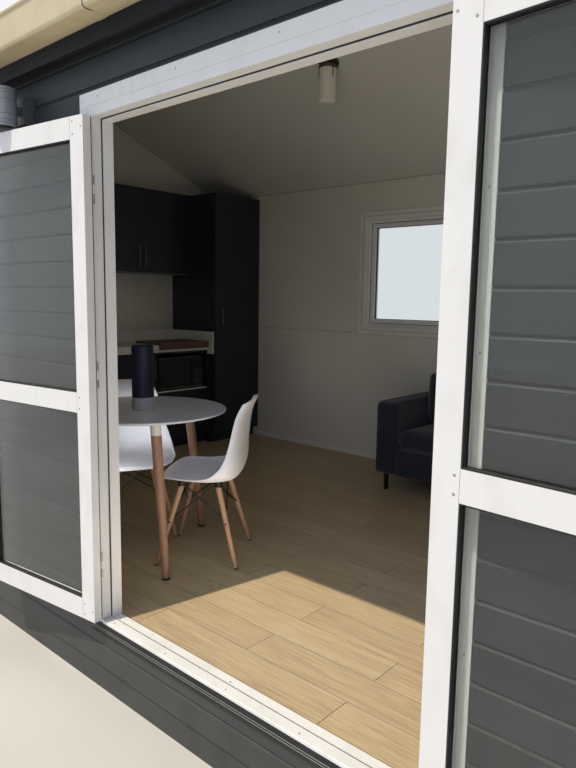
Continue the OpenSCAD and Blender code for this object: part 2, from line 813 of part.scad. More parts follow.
// Two seat cushions and two back cushions
module sofa_cushions() {
    x0 = -485 + 150;
    w = (sofa_l - 300) / 2;
    y0 = 752;
    y1 = in_y - 14 - 180;
    z0 = floor_z + 300;
    color("darkslateblue") for (i = [0, 1]) {
        x_prism(x0 + i * w + 3, w - 6,
            [for (p = soft_rect(y1 - y0 - 4, 135, 40)) [p[0] + y0 + 2, p[1] + z0]]);
        x_prism(x0 + i * w + 3, w - 6,
            [for (p = soft_rect(150, 370, 55)) [p[0] + y1 - 150, p[1] + z0 + 135]]);
    }
}

// Slice that follows the back slope of the ceiling, from low to high below it
module slope_slice(y, w, low, high) {
    x_prism(-w, 2 * w, [[-w, slope_z(y - w) - high], [w, slope_z(y + w) - high],
        [w, slope_z(y + w) - low], [-w, slope_z(y - w) - low]]);
}

// Lamp on the back slope of the ceiling: dark plate and the glass that hangs from it
module ceiling_light() {
    x = -630;
    y = 322;
    plate_t = 31;
    drop = 245;
    w = 90;
    color("dimgray") translate([x, y, 0]) {
        intersection() {
            translate([0, 0, slope_z(y) - w]) cylinder(r = 72, h = 2 * w, $fn = 48);
            slope_slice(y, w, plate_t, contact);
        }
        intersection() {
            translate([0, 0, slope_z(y) - drop]) cylinder(r = 55, h = drop + w, $fn = 48);
            slope_slice(y, w, 2 * drop, plate_t / 2);
        }
    }
}

// Tubular wall light beside the doors, on its mounting box
module outdoor_light() {
    at = [-677, face_y - 105, floor_z + 2030];
    half = 73;
    recess = 25;
    color("gray") {
        translate(at) difference() {
            translate([0, 0, -half]) cylinder(r = 52, h = 2 * half, $fn = 48);
            for (z = [-half - 1, half - recess]) translate([0, 0, z])
                cylinder(r = 46, h = recess + 1, $fn = 48);
        }
        block([at[0] - 45, -hy - 48, at[2] - 53], [at[0] + 45, -hy, at[2] + 53]);
        block([at[0] - 16, at[1] + 46, at[2] - 14], [at[0] + 16, -hy - 47, at[2] + 14]);
    }
}

bearers();
joists();
floor_panel();  // floor
base_boards();
front_wall_left();
front_wall_right();
front_wall_header();
back_wall();
end_wall(-hx);  // left_end_wall
end_wall(in_x);  // right_end_wall
roof_slope();  // ceiling_front
mirror([0, 1, 0]) roof_slope();  // ceiling_back
roof_sheet();  // roof_sheet_front
mirror([0, 1, 0]) roof_sheet();  // roof_sheet_back
ridge_cap();
eave_fascias();
barge_boards();
gutters();
corner_trims();
door_frame();
door_sill();
hinge_pins();
hung(1) leaf_frame();  // left_leaf_frame
hung(1) leaf_glass();  // left_leaf_glass
hung(-1) leaf_frame();  // right_leaf_frame
hung(-1) leaf_glass();  // right_leaf_glass
door_handle();
window_frame();
window_sash();
window_glass();
window_architrave();
skirting();
kitchen_base();
bench_top();
wall_cupboards();
tall_cupboard();
cupboard_handles();
microwave();
timber_board();
canister();
table_top();
table_legs();
chair_shells();
chair_legs();
chair_bracing();
sofa_base();
sofa_cushions();
ceiling_light();
outdoor_light();
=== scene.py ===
import math

import bmesh
import bpy
import numpy as np
from mathutils import Matrix, Vector


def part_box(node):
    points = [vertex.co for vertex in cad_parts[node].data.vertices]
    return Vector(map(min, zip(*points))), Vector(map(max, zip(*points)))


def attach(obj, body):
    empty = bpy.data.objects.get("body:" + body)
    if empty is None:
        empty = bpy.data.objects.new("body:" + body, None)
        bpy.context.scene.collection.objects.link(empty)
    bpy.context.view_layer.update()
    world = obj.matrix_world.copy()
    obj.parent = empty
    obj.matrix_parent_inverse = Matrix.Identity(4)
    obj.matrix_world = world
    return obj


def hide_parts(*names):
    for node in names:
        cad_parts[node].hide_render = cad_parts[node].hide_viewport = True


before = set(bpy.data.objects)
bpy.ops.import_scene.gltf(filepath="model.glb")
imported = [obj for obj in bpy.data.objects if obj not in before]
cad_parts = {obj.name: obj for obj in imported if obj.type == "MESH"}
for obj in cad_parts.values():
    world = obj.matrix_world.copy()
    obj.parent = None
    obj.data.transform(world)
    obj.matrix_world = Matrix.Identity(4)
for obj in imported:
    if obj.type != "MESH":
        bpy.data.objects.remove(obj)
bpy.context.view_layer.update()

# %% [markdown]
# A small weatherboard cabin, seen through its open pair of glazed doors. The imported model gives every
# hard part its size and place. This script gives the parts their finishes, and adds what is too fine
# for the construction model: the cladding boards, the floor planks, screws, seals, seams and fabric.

MM = 0.001
chance = np.random.default_rng(7)

# %% [markdown]
# The camera comes first. Its place was worked out from the vanishing points of the door frame, and its
# height from the real sizes of the doors, the table and the floor planks. The photograph is upright,
# so the lens is given for the long, vertical side of a 36 mm frame.

# %% Camera
def placed(name, data):
    """A new object of the scene."""
    item = bpy.data.objects.new(name, data)
    bpy.context.collection.objects.link(item)
    return item


EYE = (1.960, -2.928, 1.600)
HEADING, TILT, ROLL = 41.49, -7.48, 0.89
LENS_MM, FILM_MM = 30.42, 36.0
lens = bpy.data.cameras.new("camera")
lens.sensor_fit = "VERTICAL"
lens.sensor_height = FILM_MM
lens.lens = LENS_MM
lens.clip_end = 200.0
camera = placed("camera", lens)
turn = Matrix.Rotation(math.radians(HEADING), 4, "Z")
tip = Matrix.Rotation(math.radians(90 + TILT), 4, "X")
lean = Matrix.Rotation(math.radians(ROLL), 4, "Z")
camera.matrix_world = Matrix.Translation(EYE) @ turn @ tip @ lean
bpy.context.scene.camera = camera
print("camera looks", round(math.degrees(2 * math.atan(FILM_MM / 2 / LENS_MM)), 1), "degrees top to bottom")

# %% [markdown]
# A finish is a tree of nodes. One function turns an sRGB hex colour into the linear values that the
# shader works in, one adds a node, and one starts a material from its plain values. A pattern's scale
# is its real size: the space is divided by that size before the noise reads it.

# %% Helpers for finishes
def linear(hex_code):
    """sRGB hex to linear red, green, blue and an alpha of 1."""
    c = np.array([int(hex_code[i:i + 2], 16) for i in (1, 3, 5)]) / 255
    c = np.where(c <= 0.04045, c / 12.92, ((c + 0.055) / 1.055) ** 2.4)
    return (*c.tolist(), 1.0)


def add(tree, kind, inputs=None, out=0, **settings):
    """One node of a kind, its settings and its inputs, each a value or a socket; returns an output."""
    node = tree.nodes.new("ShaderNode" + kind)
    for key, value in settings.items():
        setattr(node, key, value)
    for key, value in (inputs or {}).items():
        if isinstance(value, bpy.types.NodeSocket):
            tree.links.new(value, node.inputs[key])
        else:
            node.inputs[key].default_value = value
    return node.outputs[out]


def calc(tree, operation, *values):
    """One step of arithmetic on values or sockets."""
    return add(tree, "Math", dict(enumerate(values)), operation=operation)


def mix(tree, amount, first, second):
    """The first colour at an amount of 0, the second at 1; a colour is a hex code or a socket."""
    ends = [linear(c) if isinstance(c, str) else c for c in (first, second)]
    return add(tree, "Mix", {0: amount, 6: ends[0], 7: ends[1]}, out=2, data_type="RGBA")


def finish(name, colour, rough=0.5, **more):
    """A material with its base colour, roughness and other shader values; with its shader and tree."""
    mat = bpy.data.materials.new(name)
    mat.use_nodes = True
    shader = mat.node_tree.nodes["Principled BSDF"]
    mat.diffuse_color = linear(colour)
    shader.inputs["Base Color"].default_value = linear(colour)
    shader.inputs["Roughness"].default_value = rough
    for key, value in more.items():
        shader.inputs[key.replace("_", " ")].default_value = value
    return mat, shader, mat.node_tree


def point(tree):
    """The place of the shaded point."""
    return add(tree, "TexCoord", out="Object")


def axes(tree):
    """The X, Y and Z of the shaded point."""
    return add(tree, "SeparateXYZ", {0: point(tree)}).node.outputs


def own_tone(tree):
    """The number from 0 to 1 that a board or plank carries."""
    return add(tree, "Attribute", out="Fac", attribute_name="tone")


def cloud(tree, size_mm, detail=2.0, where=None, **more):
    """Noise from 0 to 1 whose patches measure size_mm along X, Y and Z."""
    scale = tuple(1000.0 / s for s in np.broadcast_to(size_mm, 3))
    space = add(tree, "Mapping", {"Vector": where or point(tree), "Scale": scale})
    return add(tree, "TexNoise", {"Vector": space, "Scale": 1.0, "Detail": detail, **more})


def lengthways(across_mm, along_mm, axis):
    """The size of a patch along X, Y and Z when it is long along one axis."""
    size = np.full(3, float(across_mm))
    size["XYZ".index(axis)] = along_mm
    return size


def between(tree, amount, colour_a, colour_b, low=0.35, high=0.65):
    """Colour a where the amount is low, b where it is high."""
    spread = add(tree, "MapRange", {"Value": amount, "From Min": low, "From Max": high})
    return mix(tree, spread, colour_a, colour_b)


def dress(shader, colour=None, rough=None, height=None, depth_mm=0.1):
    """Links a colour, a roughness in a low-high pair over an amount, and a relief to the shader."""
    tree = shader.id_data
    if colour is not None:
        tree.links.new(colour, shader.inputs["Base Color"])
    if rough is not None:
        amount, low, high = rough
        spread = add(tree, "MapRange", {"Value": amount, "To Min": low, "To Max": high})
        tree.links.new(spread, shader.inputs["Roughness"])
    if height is not None:
        relief = add(tree, "Bump", {"Height": height, "Distance": depth_mm * MM, "Strength": 1.0})
        tree.links.new(relief, shader.inputs["Normal"])


def beyond(tree, axis, limit, edge=0.0004, both=True):
    """1 where the point lies past the limit along an axis, 0 before it; both takes either side."""
    value = axes(tree)["XYZ".index(axis)]
    if both:
        value = calc(tree, "ABSOLUTE", value)
    return add(tree, "MapRange", {"Value": value, "From Min": limit - edge, "From Max": limit + edge})


# %% [markdown]
# Outside, the cabin is painted a satin charcoal. The paint is brushed on timber, so a fine grain runs
# along each board, each board has a slightly different tone, and the low boards carry a little dust.
# The grain's direction differs between the long walls and the ends, so it is one function.

# %% Painted boards
CHARCOAL, CHARCOAL_PALE, DUST = "#2a2f32", "#33383b", "#55544f"
DUST_TOP, DUST_FADE = 0.30, 0.22


def painted_boards(name, along, dark=CHARCOAL, pale=CHARCOAL_PALE, shine=0.38):
    """Satin paint over timber with its grain along one axis, toned board by board, dusty low down."""
    mat, shader, tree = finish(name, dark, 0.5, Specular_IOR_Level=shine)
    grain = cloud(tree, lengthways(3, 160, along), 4.0)
    patch = cloud(tree, 140, 4.0)
    board = between(tree, own_tone(tree), dark, pale, 0.0, 1.0)
    brushed = mix(tree, 0.10, board, between(tree, grain, "#1d2124", "#4e5459"))
    low = calc(tree, "SUBTRACT", 1.0, beyond(tree, "Z", DUST_TOP, DUST_FADE, both=False))
    worn = mix(tree, calc(tree, "MULTIPLY", low, patch), brushed, DUST)
    dress(shader, worn, (patch, 0.45, 0.65), grain, 0.18)
    return mat


board_paint = {axis: painted_boards("painted_weatherboard_" + axis.lower(), axis) for axis in "XY"}
trim_paint = {axis: painted_boards("painted_trim_" + axis.lower(), axis) for axis in "XYZ"}
# The eave boards and the sill flashing take a darker navy charcoal with less shine than the walls: partly
# their own paint, partly painted shade under the gutter and under the sill.
eave_shade_paint = painted_boards("painted_eave_boards_and_shade", "X", "#14161e", "#1a1d26", 0.14)
print(len(board_paint) + len(trim_paint) + 1, "painted board finishes")

# %% [markdown]
# The walls and the ceiling are lined with sheets in a warm off-white paint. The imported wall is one
# solid with two faces, so the finish reads where it is: inside the room it is the lining with its
# fine joints, and outside it is the charcoal paint. Joints are drawn 3 mm wide so that they show.

# %% Lined walls and ceiling
room_lo, room_hi = np.array(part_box("skirting"))
IN_X, IN_Y, FLOOR_Z = float(room_hi[0]), float(room_hi[1]), float(room_lo[2])
JOINT_Z, JOINT_X0, JOINT_W = FLOOR_Z + 1.033, -2.07, 0.003
SHEET_W, SKIN = 1.2, 0.002


def joint_line(tree, value, at):
    """1 within half a joint's width of a place along a value, else 0."""
    off = calc(tree, "ABSOLUTE", calc(tree, "SUBTRACT", value, at))
    return calc(tree, "LESS_THAN", off, JOINT_W / 2)


def lined(name, paint, shade, joint, level_joint):
    """Lining paint with joints inside the room, charcoal outside it."""
    mat, shader, tree = finish(name, paint, 0.6)
    broad = cloud(tree, 900)
    along_x, _, height = axes(tree)
    if level_joint:
        joints = joint_line(tree, height, JOINT_Z)
    else:
        from_joint = calc(tree, "SUBTRACT", along_x, JOINT_X0)
        joints = joint_line(tree, calc(tree, "FLOORED_MODULO", from_joint, SHEET_W), SHEET_W)
    inside = mix(tree, joints, between(tree, broad, paint, shade), joint)
    out_x, out_y = (beyond(tree, axis, reach + SKIN) for axis, reach in (("X", IN_X), ("Y", IN_Y)))
    painted = mix(tree, calc(tree, "MAXIMUM", out_x, out_y), inside, CHARCOAL)
    dress(shader, painted, (broad, 0.5, 0.62), cloud(tree, 2.2, 3.0), 0.06)
    return mat


wall_finish = lined("lined_wall_paint", "#dbd7cb", "#d4d0c4", "#8f8b80", True)
ceiling_finish = lined("lined_ceiling_paint", "#dedbd2", "#d6d3ca", "#b5b2a8", False)
print("room is", round(2 * IN_X, 3), "by", round(2 * IN_Y, 3), "m inside")

# %% [markdown]
# The doors and windows are aluminium with a white powder coat. Baked powder leaves a faint
# orange-peel surface and a satin gloss, and years outside leave a thin grey film in patches.

# %% White powder coat
def powder_coat(name, colour, film):
    """Satin baked powder: orange peel of 1.5 mm and a thin film of grime in upright patches."""
    mat, shader, tree = finish(name, colour, 0.36, Specular_IOR_Level=0.5)
    grime = cloud(tree, (90, 90, 200), 5.0)
    soft = between(tree, grime, colour, film, 0.48, 0.95)
    dress(shader, soft, (grime, 0.3, 0.5), cloud(tree, 1.5, 1.0), 0.02)
    return mat


def second_colour(mat, axis, at, paint, past=True):
    """Past a place along an axis, or else before it, the finish takes a second colour."""
    tree = mat.node_tree
    base = tree.nodes["Principled BSDF"].inputs["Base Color"]
    side = beyond(tree, axis, at, both=False)
    if not past:
        side = calc(tree, "SUBTRACT", 1.0, side)
    tree.links.new(mix(tree, side, base.links[0].from_socket, paint), base)


white_coat = powder_coat("white_powder_coat", "#e8e7e4", "#d6d4ce")
gutter_coat = powder_coat("cream_prepaint", "#c9bb97", "#b3a27e")
lamp_coat = powder_coat("grey_powder_coat", "#878c91", "#74797e")
second_colour(lamp_coat, "Y", float(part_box("outdoor_light")[0][1]) + 100 * MM, "#4d5257")
roof_coat = powder_coat("roof_prepaint", "#30353a", "#43474a")
oven_coat = powder_coat("black_oven_enamel", "#17191c", "#212327")
wire_coat = powder_coat("black_wire_coat", "#0c0c0c", "#141414")
enamel_trim = powder_coat("white_trim_enamel", "#e3e0d7", "#d6d2c6")
print("powder coats and enamels ready")

# %% [markdown]
# Timber shows long grain. Its colour varies in streaks many times longer than they are wide, and
# pores darken it in short dashes. A function takes the grain's axis and two colours, for the rough
# pine under the floor, the beech legs and the oiled board. The beech legs have a painted top and a
# dark foot.

# %% Bare timber
def timber(name, along, pale, dark, rough, streak_mm=7, pore_mm=1.2, depth_mm=0.1):
    """Streaks of two colours and dashes of pores, both drawn out 22 times along the grain."""
    mat, shader, tree = finish(name, pale, rough)
    streaks = cloud(tree, lengthways(streak_mm, 22 * streak_mm, along), 3.0)
    pores = cloud(tree, lengthways(pore_mm, 22 * pore_mm, along))
    pored = mix(tree, 0.22, between(tree, streaks, pale, dark, 0.3, 0.7),
                between(tree, pores, dark, pale, 0.4, 0.6))
    dress(shader, pored, (streaks, rough - 0.07, rough + 0.07), pores, depth_mm)
    return mat


pine = {axis: timber("rough_pine_" + axis.lower(), axis, "#b79a6d", "#94784e", 0.8, 12, 2.0, 0.5)
        for axis in "XY"}
table_beech = timber("beech_table_legs", "Z", "#ad8469", "#946d54", 0.45)
chair_beech = timber("beech_chair_legs", "Z", "#c29c7c", "#a98265", 0.45)
for beech, paint_z, paint, foot_z, foot_paint in ((table_beech, 0.662, "#e7e3da", 0.012, "#1b1a1a"),
                                                  (chair_beech, 0.388, "#141414", 0.008, "#3a3835")):
    second_colour(beech, "Z", FLOOR_Z + paint_z, paint)
    second_colour(beech, "Z", FLOOR_Z + foot_z, foot_paint, past=False)
oiled_board = timber("oiled_hardwood", "Y", "#7a5f4b", "#563f30", 0.5, 9)
print("timber finishes ready")

# %% [markdown]
# The floor is oak-look vinyl planks in a half bond. Each plank is printed with its own stretch of a
# grain that is taken as 37 m long and wide, so the plank's tone attribute shifts both the colour and
# the place that the noise is read at.

# %% Oak-look planks
PRINT_LENGTH = 37.0


def oak_planks():
    """Broad figure, fine grain and pores along X, shifted and toned by each plank's own number."""
    mat, shader, tree = finish("oak_look_vinyl", "#bea985", 0.42)
    tone = own_tone(tree)
    shift = calc(tree, "MULTIPLY", tone, PRINT_LENGTH)
    move = add(tree, "CombineXYZ", {0: shift, 1: shift, 2: 0.0})
    where = add(tree, "VectorMath", {0: point(tree), 1: move}, operation="ADD")
    figure = cloud(tree, (380, 24, 1000), 3.0, where, Distortion=1.2)
    grain = cloud(tree, (120, 3.4, 1000), 4.0, where)
    printed = between(tree, tone, "#b49e7b", "#cab590", 0.0, 1.0)
    printed = mix(tree, 0.34, printed, between(tree, figure, "#998365", "#dac49f"))
    printed = mix(tree, 0.30, printed, between(tree, grain, "#877155", "#d3bc98"))
    dress(shader, printed, (figure, 0.36, 0.5), grain, 0.12)
    return mat


plank_finish = oak_planks()
under_plank = finish("plank_underlay", "#1f1a15", 0.9)[0]
print("floor finish ready")

# %% [markdown]
# The kitchen is board with a matt navy laminate, and the bench and table tops are a satin white
# laminate. Pressed laminate has a very fine even texture, and the navy shows faint handling marks.

# %% Laminates and moulded plastic
def laminate(name, colour, mark, rough, grit_mm=1.1, depth_mm=0.02):
    """Pressed sheet: fine even grit, and broad faint marks that change the gloss more than the hue."""
    mat, shader, tree = finish(name, colour, rough)
    marks = cloud(tree, (180, 180, 260), 4.0)
    dress(shader, between(tree, marks, colour, mark, 0.4, 0.75), (marks, rough - 0.08, rough + 0.1),
          cloud(tree, grit_mm), depth_mm)
    return mat


navy_laminate = laminate("navy_laminate", "#1e212d", "#272b38", 0.45)
white_laminate = laminate("white_laminate", "#e6e3da", "#dcd8cd", 0.34)
splash_panel = laminate("splashback_panel", "#d3d0c2", "#c9c6b7", 0.25, 3.0, 0.01)
chair_plastic = laminate("moulded_polypropylene", "#e9e8ec", "#dfdee3", 0.48, 1.3, 0.05)
table_laminate = laminate("table_top_laminate", "#dcdde2", "#d3d4d9", 0.22)
canister_finish = laminate("navy_canister", "#0e1330", "#131939", 0.6)
second_colour(canister_finish, "Z", FLOOR_Z + 0.806, "#a9a9ad", past=False)
rubber = laminate("black_seal_rubber", "#1c1d1f", "#26272a", 0.62, 0.8, 0.03)
diffuser = laminate("lamp_diffuser", "#e9e6dc", "#dedace", 0.5)
oven_glass = laminate("oven_door_glass", "#060708", "#08090a", 0.08, 40, 0.0)
print("laminates ready")

# %% [markdown]
# Screws are zinc plated, the door handle is brushed steel, the cupboard handles are darker, and the
# lamp indoors is a ribbed frosted glass on a dark bracket. Brushed metal has fine scratches in one
# direction.

# %% Metals and frosted glass
def brushed(name, colour, rough):
    """Metal with upright hairline scratches."""
    mat, shader, tree = finish(name, colour, rough, Metallic=1.0)
    lines = cloud(tree, lengthways(0.5, 30, "Z"))
    dress(shader, between(tree, lines, colour, "#8d8f92", 0.3, 0.9), (lines, rough - 0.06, rough + 0.12),
          lines, 0.01)
    return mat


zinc = brushed("zinc_plate", "#b4b6b9", 0.42)
steel = brushed("brushed_steel", "#b9bbbd", 0.34)
dark_steel = brushed("blackened_steel", "#45474b", 0.28)
bracket_metal = brushed("bronzed_bracket", "#4a4038", 0.5)
frosted, shader, tree = finish("ribbed_frosted_glass", "#f4efe2", 0.4, Transmission_Weight=0.15, IOR=1.5)
dress(shader, height=cloud(tree, 1.2, 1.0), depth_mm=0.05)
print("metals ready")

# %% [markdown]
# Clear float glass mirrors at a low angle and lets light through. A lamp's rays would be stopped by
# a refracting pane, so for shadow rays only the pane is simply transparent.

# %% Window glass
def float_glass(name, colour):
    """Refracting glass, taken as transparent by the rays that carry lamp light."""
    mat, shader, tree = finish(name, colour, 0.0, Transmission_Weight=1.0, IOR=1.45)
    clear = add(tree, "BsdfTransparent", {"Color": linear(colour)})
    shadow = add(tree, "LightPath", out="Is Shadow Ray")
    pane = add(tree, "MixShader", {0: shadow, 1: shader.outputs[0], 2: clear})
    tree.links.new(pane, tree.nodes["Material Output"].inputs["Surface"])
    return mat


pane_glass = float_glass("clear_float_glass", "#e6ecee")
print("glass ready")

# %% [markdown]
# The sofa is covered in a woven navy polyester. Two sets of threads cross; each thread is about
# 1 mm thick, drawn here at 3 mm so that the weave shows, with a flecked yarn and a soft sheen.

# %% Navy weave
def weave(name, dark, pale, thread_mm=3.0):
    """Two crossing sets of waves, the higher thread on top, with flecks along the yarn."""
    mat, shader, tree = finish(name, dark, 0.85, Sheen_Weight=0.25, Sheen_Roughness=0.5)
    turns = 2 * math.pi / (thread_mm * MM)
    x, y, z = (calc(tree, "SINE", calc(tree, "MULTIPLY", way, turns)) for way in axes(tree))
    thread = calc(tree, "MULTIPLY", calc(tree, "ADD", calc(tree, "MULTIPLY", x, y), z), 0.5)
    dress(shader, between(tree, cloud(tree, 3), dark, pale, 0.3, 0.75), None, thread, 0.35)
    return mat


navy_weave = weave("navy_woven_polyester", "#0f1320", "#1e253a")
piping_cloth = weave("navy_piping", "#0c0f19", "#181d2e", 2.0)
print("fabric ready")

# %% [markdown]
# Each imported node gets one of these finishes. Nodes that fine pieces replace later are dressed too,
# so that nothing is left plain.

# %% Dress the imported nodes
NODE_FINISHES = (
    (pine["X"], "bearers"), (pine["Y"], "joists"), (under_plank, "floor"),
    (wall_finish, "front_wall_left front_wall_right front_wall_header back_wall"),
    (wall_finish, "left_end_wall right_end_wall"), (ceiling_finish, "ceiling_front ceiling_back"),
    (roof_coat, "roof_sheet_front roof_sheet_back ridge_cap"), (eave_shade_paint, "eave_fascias"),
    (trim_paint["X"], "base_boards"), (trim_paint["Y"], "barge_boards"), (trim_paint["Z"], "corner_trims"),
    (gutter_coat, "gutters"), (white_coat, "door_frame door_sill left_leaf_frame right_leaf_frame"),
    (white_coat, "window_frame window_sash"), (pane_glass, "left_leaf_glass right_leaf_glass window_glass"),
    (zinc, "hinge_pins"), (steel, "door_handle"), (enamel_trim, "window_architrave skirting"),
    (navy_laminate, "kitchen_base wall_cupboards tall_cupboard"), (white_laminate, "bench_top"),
    (dark_steel, "cupboard_handles"), (oven_coat, "microwave"), (oiled_board, "timber_board"),
    (canister_finish, "canister"), (table_laminate, "table_top"), (table_beech, "table_legs"),
    (chair_plastic, "chair_shells"), (chair_beech, "chair_legs"), (wire_coat, "chair_bracing"),
    (navy_weave, "sofa_base sofa_cushions"), (bracket_metal, "ceiling_light"), (lamp_coat, "outdoor_light"))
dressed = [(mat, node_name) for mat, names in NODE_FINISHES for node_name in names.split()]
for mat, node_name in dressed:
    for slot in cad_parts[node_name].material_slots:
        slot.material = mat
print(len(dressed), "of", len(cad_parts), "nodes dressed")

# %% [markdown]
# New pieces are forms: an array of points and arrays of faces. A few helpers make the forms that a
# cabin needs, such as blocks, sections carried along a line, turned parts and screw heads, and one
# puts a form into the scene, turns its faces outwards and lets it ride on a body.

# %% Helpers for forms
BLOCK_CORNERS = np.array([[i & 1, i >> 1 & 1, i >> 2 & 1] for i in range(8)], float)
BLOCK_FACES = np.array([[0, 2, 3, 1], [4, 5, 7, 6], [0, 1, 5, 4], [2, 6, 7, 3], [0, 4, 6, 2], [1, 3, 7, 5]])


def gather(forms):
    """Several forms as one: the faces of each count on from the points before it."""
    starts = np.cumsum([0] + [len(p) for p, _ in forms[:-1]])
    points = np.concatenate([p for p, _ in forms])
    return points, [f + s for (_, faces), s in zip(forms, starts) for f in faces]


def turn_out(mesh, weld_mm=None):
    """Turns the faces of a mesh outwards, and first welds the points that lie closer than a distance."""
    work = bmesh.new()
    work.from_mesh(mesh)
    if weld_mm:
        bmesh.ops.remove_doubles(work, verts=work.verts, dist=weld_mm * MM)
    bmesh.ops.recalc_face_normals(work, faces=work.faces)
    work.to_mesh(mesh)
    work.free()


def put(name, form, mat, slot_name, body="cabin", smooth=False, tone=None, closed=True):
    """Makes the mesh, with an own number for each point as its tone, and rides it on a body."""
    points, faces = form
    mesh = bpy.data.meshes.new(name)
    mesh.from_pydata(points.tolist(), [], [f for block in faces for f in block.tolist()])
    mesh.polygons.foreach_set("use_smooth", np.full(len(mesh.polygons), smooth))
    if tone is not None:
        mesh.attributes.new("tone", "FLOAT", "POINT").data.foreach_set("value", tone.astype(np.float32))
    mesh.materials.append(mat)
    if closed:
        turn_out(mesh)
    piece = placed(name, mesh)
    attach(piece, body)
    return piece


def soften(piece, width_mm=1.0, segments=2, angle=40):
    """Rounds a piece's sharp edges with a bevel of the given width."""
    bevel = piece.modifiers.new("rounded_edges", "BEVEL")
    bevel.width = width_mm * MM
    bevel.segments = segments
    bevel.limit_method = "ANGLE"
    bevel.angle_limit = math.radians(angle)


def blocks(lows, highs):
    """Boxes between rows of lowest and highest corners: low + corner * (high - low)."""
    lows, highs = np.atleast_2d(lows), np.atleast_2d(highs)
    points = lows[:, None] + BLOCK_CORNERS * (highs - lows)[:, None]
    faces = BLOCK_FACES + 8 * np.arange(len(lows))[:, None, None]
    return points.reshape(-1, 3), [faces.reshape(-1, 4)]


def bars(pairs):
    """Boxes between pairs of opposite corners."""
    pairs = np.array(pairs)
    return blocks(pairs.min(axis=1), pairs.max(axis=1))


def ring(x0, x1, z0, z1, bar, y0, y1):
    """The pairs of corners of four strips just inside the edge of an upright rectangle."""
    return [((x0, y0, z0), (x0 + bar, y1, z1)), ((x1 - bar, y0, z0), (x1, y1, z1)),
            ((x0 + bar, y0, z0), (x1 - bar, y1, z0 + bar)), ((x0 + bar, y0, z1 - bar), (x1 - bar, y1, z1))]


def grid_faces(rows, cols, wrap=False, loop=False):
    """Quads of a grid of points; its last column joins the first if it wraps, its last row if it loops."""
    j, i = np.meshgrid(np.arange(rows - (not loop)), np.arange(cols - (not wrap)), indexing="ij")
    up, right = (j + 1) % rows * cols, (i + 1) % cols
    return np.stack([j * cols + i, j * cols + right, up + right, up + i], -1).reshape(-1, 4)


def turned(profile_mm, centre=(0, 0, 0), sides=32, ripple=None):
    """A turned part: each (radius, height) of the profile swept round Z at a centre, ends closed."""
    profile = np.asarray(profile_mm, float) * MM
    angle = np.arange(sides) * 2 * np.pi / sides
    radius = profile[:, :1] * (np.ones(sides) if ripple is None else ripple(angle))
    points = np.stack([radius * np.cos(angle), radius * np.sin(angle),
                       np.broadcast_to(profile[:, 1:], radius.shape)], -1).reshape(-1, 3)
    ends = np.arange(sides)
    faces = [grid_faces(len(profile), sides, wrap=True), ends[None], ends[None] + (len(profile) - 1) * sides]
    return points + np.asarray(centre, float), faces


def aim(form, normals, places):
    """Copies of a form made round Z, turned so that Z is each normal and set at each place."""
    points, faces = form
    places = np.atleast_2d(places)
    normals = np.atleast_2d(normals) / np.linalg.norm(np.atleast_2d(normals), axis=-1, keepdims=True)
    normals = np.broadcast_to(normals, places.shape)
    spare = np.where(np.abs(normals[:, 2:]) > 0.9, [[1.0, 0, 0]], [[0, 0, 1.0]])
    side = np.cross(spare, normals)
    side /= np.linalg.norm(side, axis=-1, keepdims=True)
    basis = np.stack([side, np.cross(normals, side), normals], 1)
    out = np.einsum("pk,nkj->npj", points, basis) + places[:, None]
    starts = np.arange(len(places))[:, None, None] * len(points)
    return out.reshape(-1, 3), [(f[None] + starts).reshape(-1, f.shape[-1]) for f in faces]


def screw_heads(places, normal, r, h):
    """Pan heads of radius r and height h in mm: a short wall and a flat dome, facing along a normal."""
    dome = turned([[r, -0.3 * h], [r, 0.5 * h], [0.8 * r, 0.85 * h], [0.35 * r, h]], sides=10)
    return aim(dome, normal, places)


def put_screws(name, places, normal, r, h, body="cabin"):
    """Zinc screws as one piece, on the cabin or in a closed leaf's own axes."""
    heads = screw_heads(places, normal, r, h)
    put(name, heads if body == "cabin" else hung(heads, body), zinc, "handle_metal", body, smooth=True)


def run(section, starts, ends, place=lambda p: p):
    """A closed section of (out, height) carried from a start to an end for each of its points;
    place turns (along, out, height) into a point of the cabin."""
    section = np.asarray(section, float)
    n = len(section)
    along = np.concatenate([np.broadcast_to(starts, n), np.broadcast_to(ends, n)])
    points = np.column_stack([along, np.tile(section, (2, 1))])
    i = np.arange(n)
    sides = np.stack([i, (i + 1) % n, (i + 1) % n + n, i + n], -1)
    return place(points), [sides, i[::-1][None], (i + n)[None]]


print("form helpers ready")

# %% [markdown]
# The cladding is rusticated weatherboard. Each board has a flat face that stands 9.5 mm off the wall,
# a square bottom edge, and a chamfered top that the next board's edge shades with a dark line. The
# boards cover 101.9 mm each. They stop at the corner trims, the door frame and the window, and on the
# gable ends they are cut to the slope of the roof. Each row is cut into bands where an opening starts.

# %% Weatherboards
wall_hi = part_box("back_wall")[1]
door_lo, door_hi = np.array(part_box("door_frame"))
win_lo, win_hi = np.array(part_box("window_frame"))
HX, HY, RIDGE_Z = (float(v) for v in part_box("right_end_wall")[1])
EAVE_Z = float(wall_hi[2])
RISE = (RIDGE_Z - EAVE_Z) / IN_Y
BOARD, FIRST_LINE = 101.9 * MM, 106.1 * MM
CORNER, TRIM_T, CLEAR, TIP_HALF = 70 * MM, 22 * MM, 1.5 * MM, 2 * MM
BOARD_FACE = np.array([[0.0, 8.4], [1.5, 9.5], [89.9, 9.5], [96.9, 3.5], [101.9, 3.0]]) * MM
CORNERS = [(sx, sy) for sx in (-1, 1) for sy in (-1, 1)]


def slope_z(y):
    """Height of the underside of the roof at a distance y from the ridge."""
    return RIDGE_Z - np.abs(y) * RISE


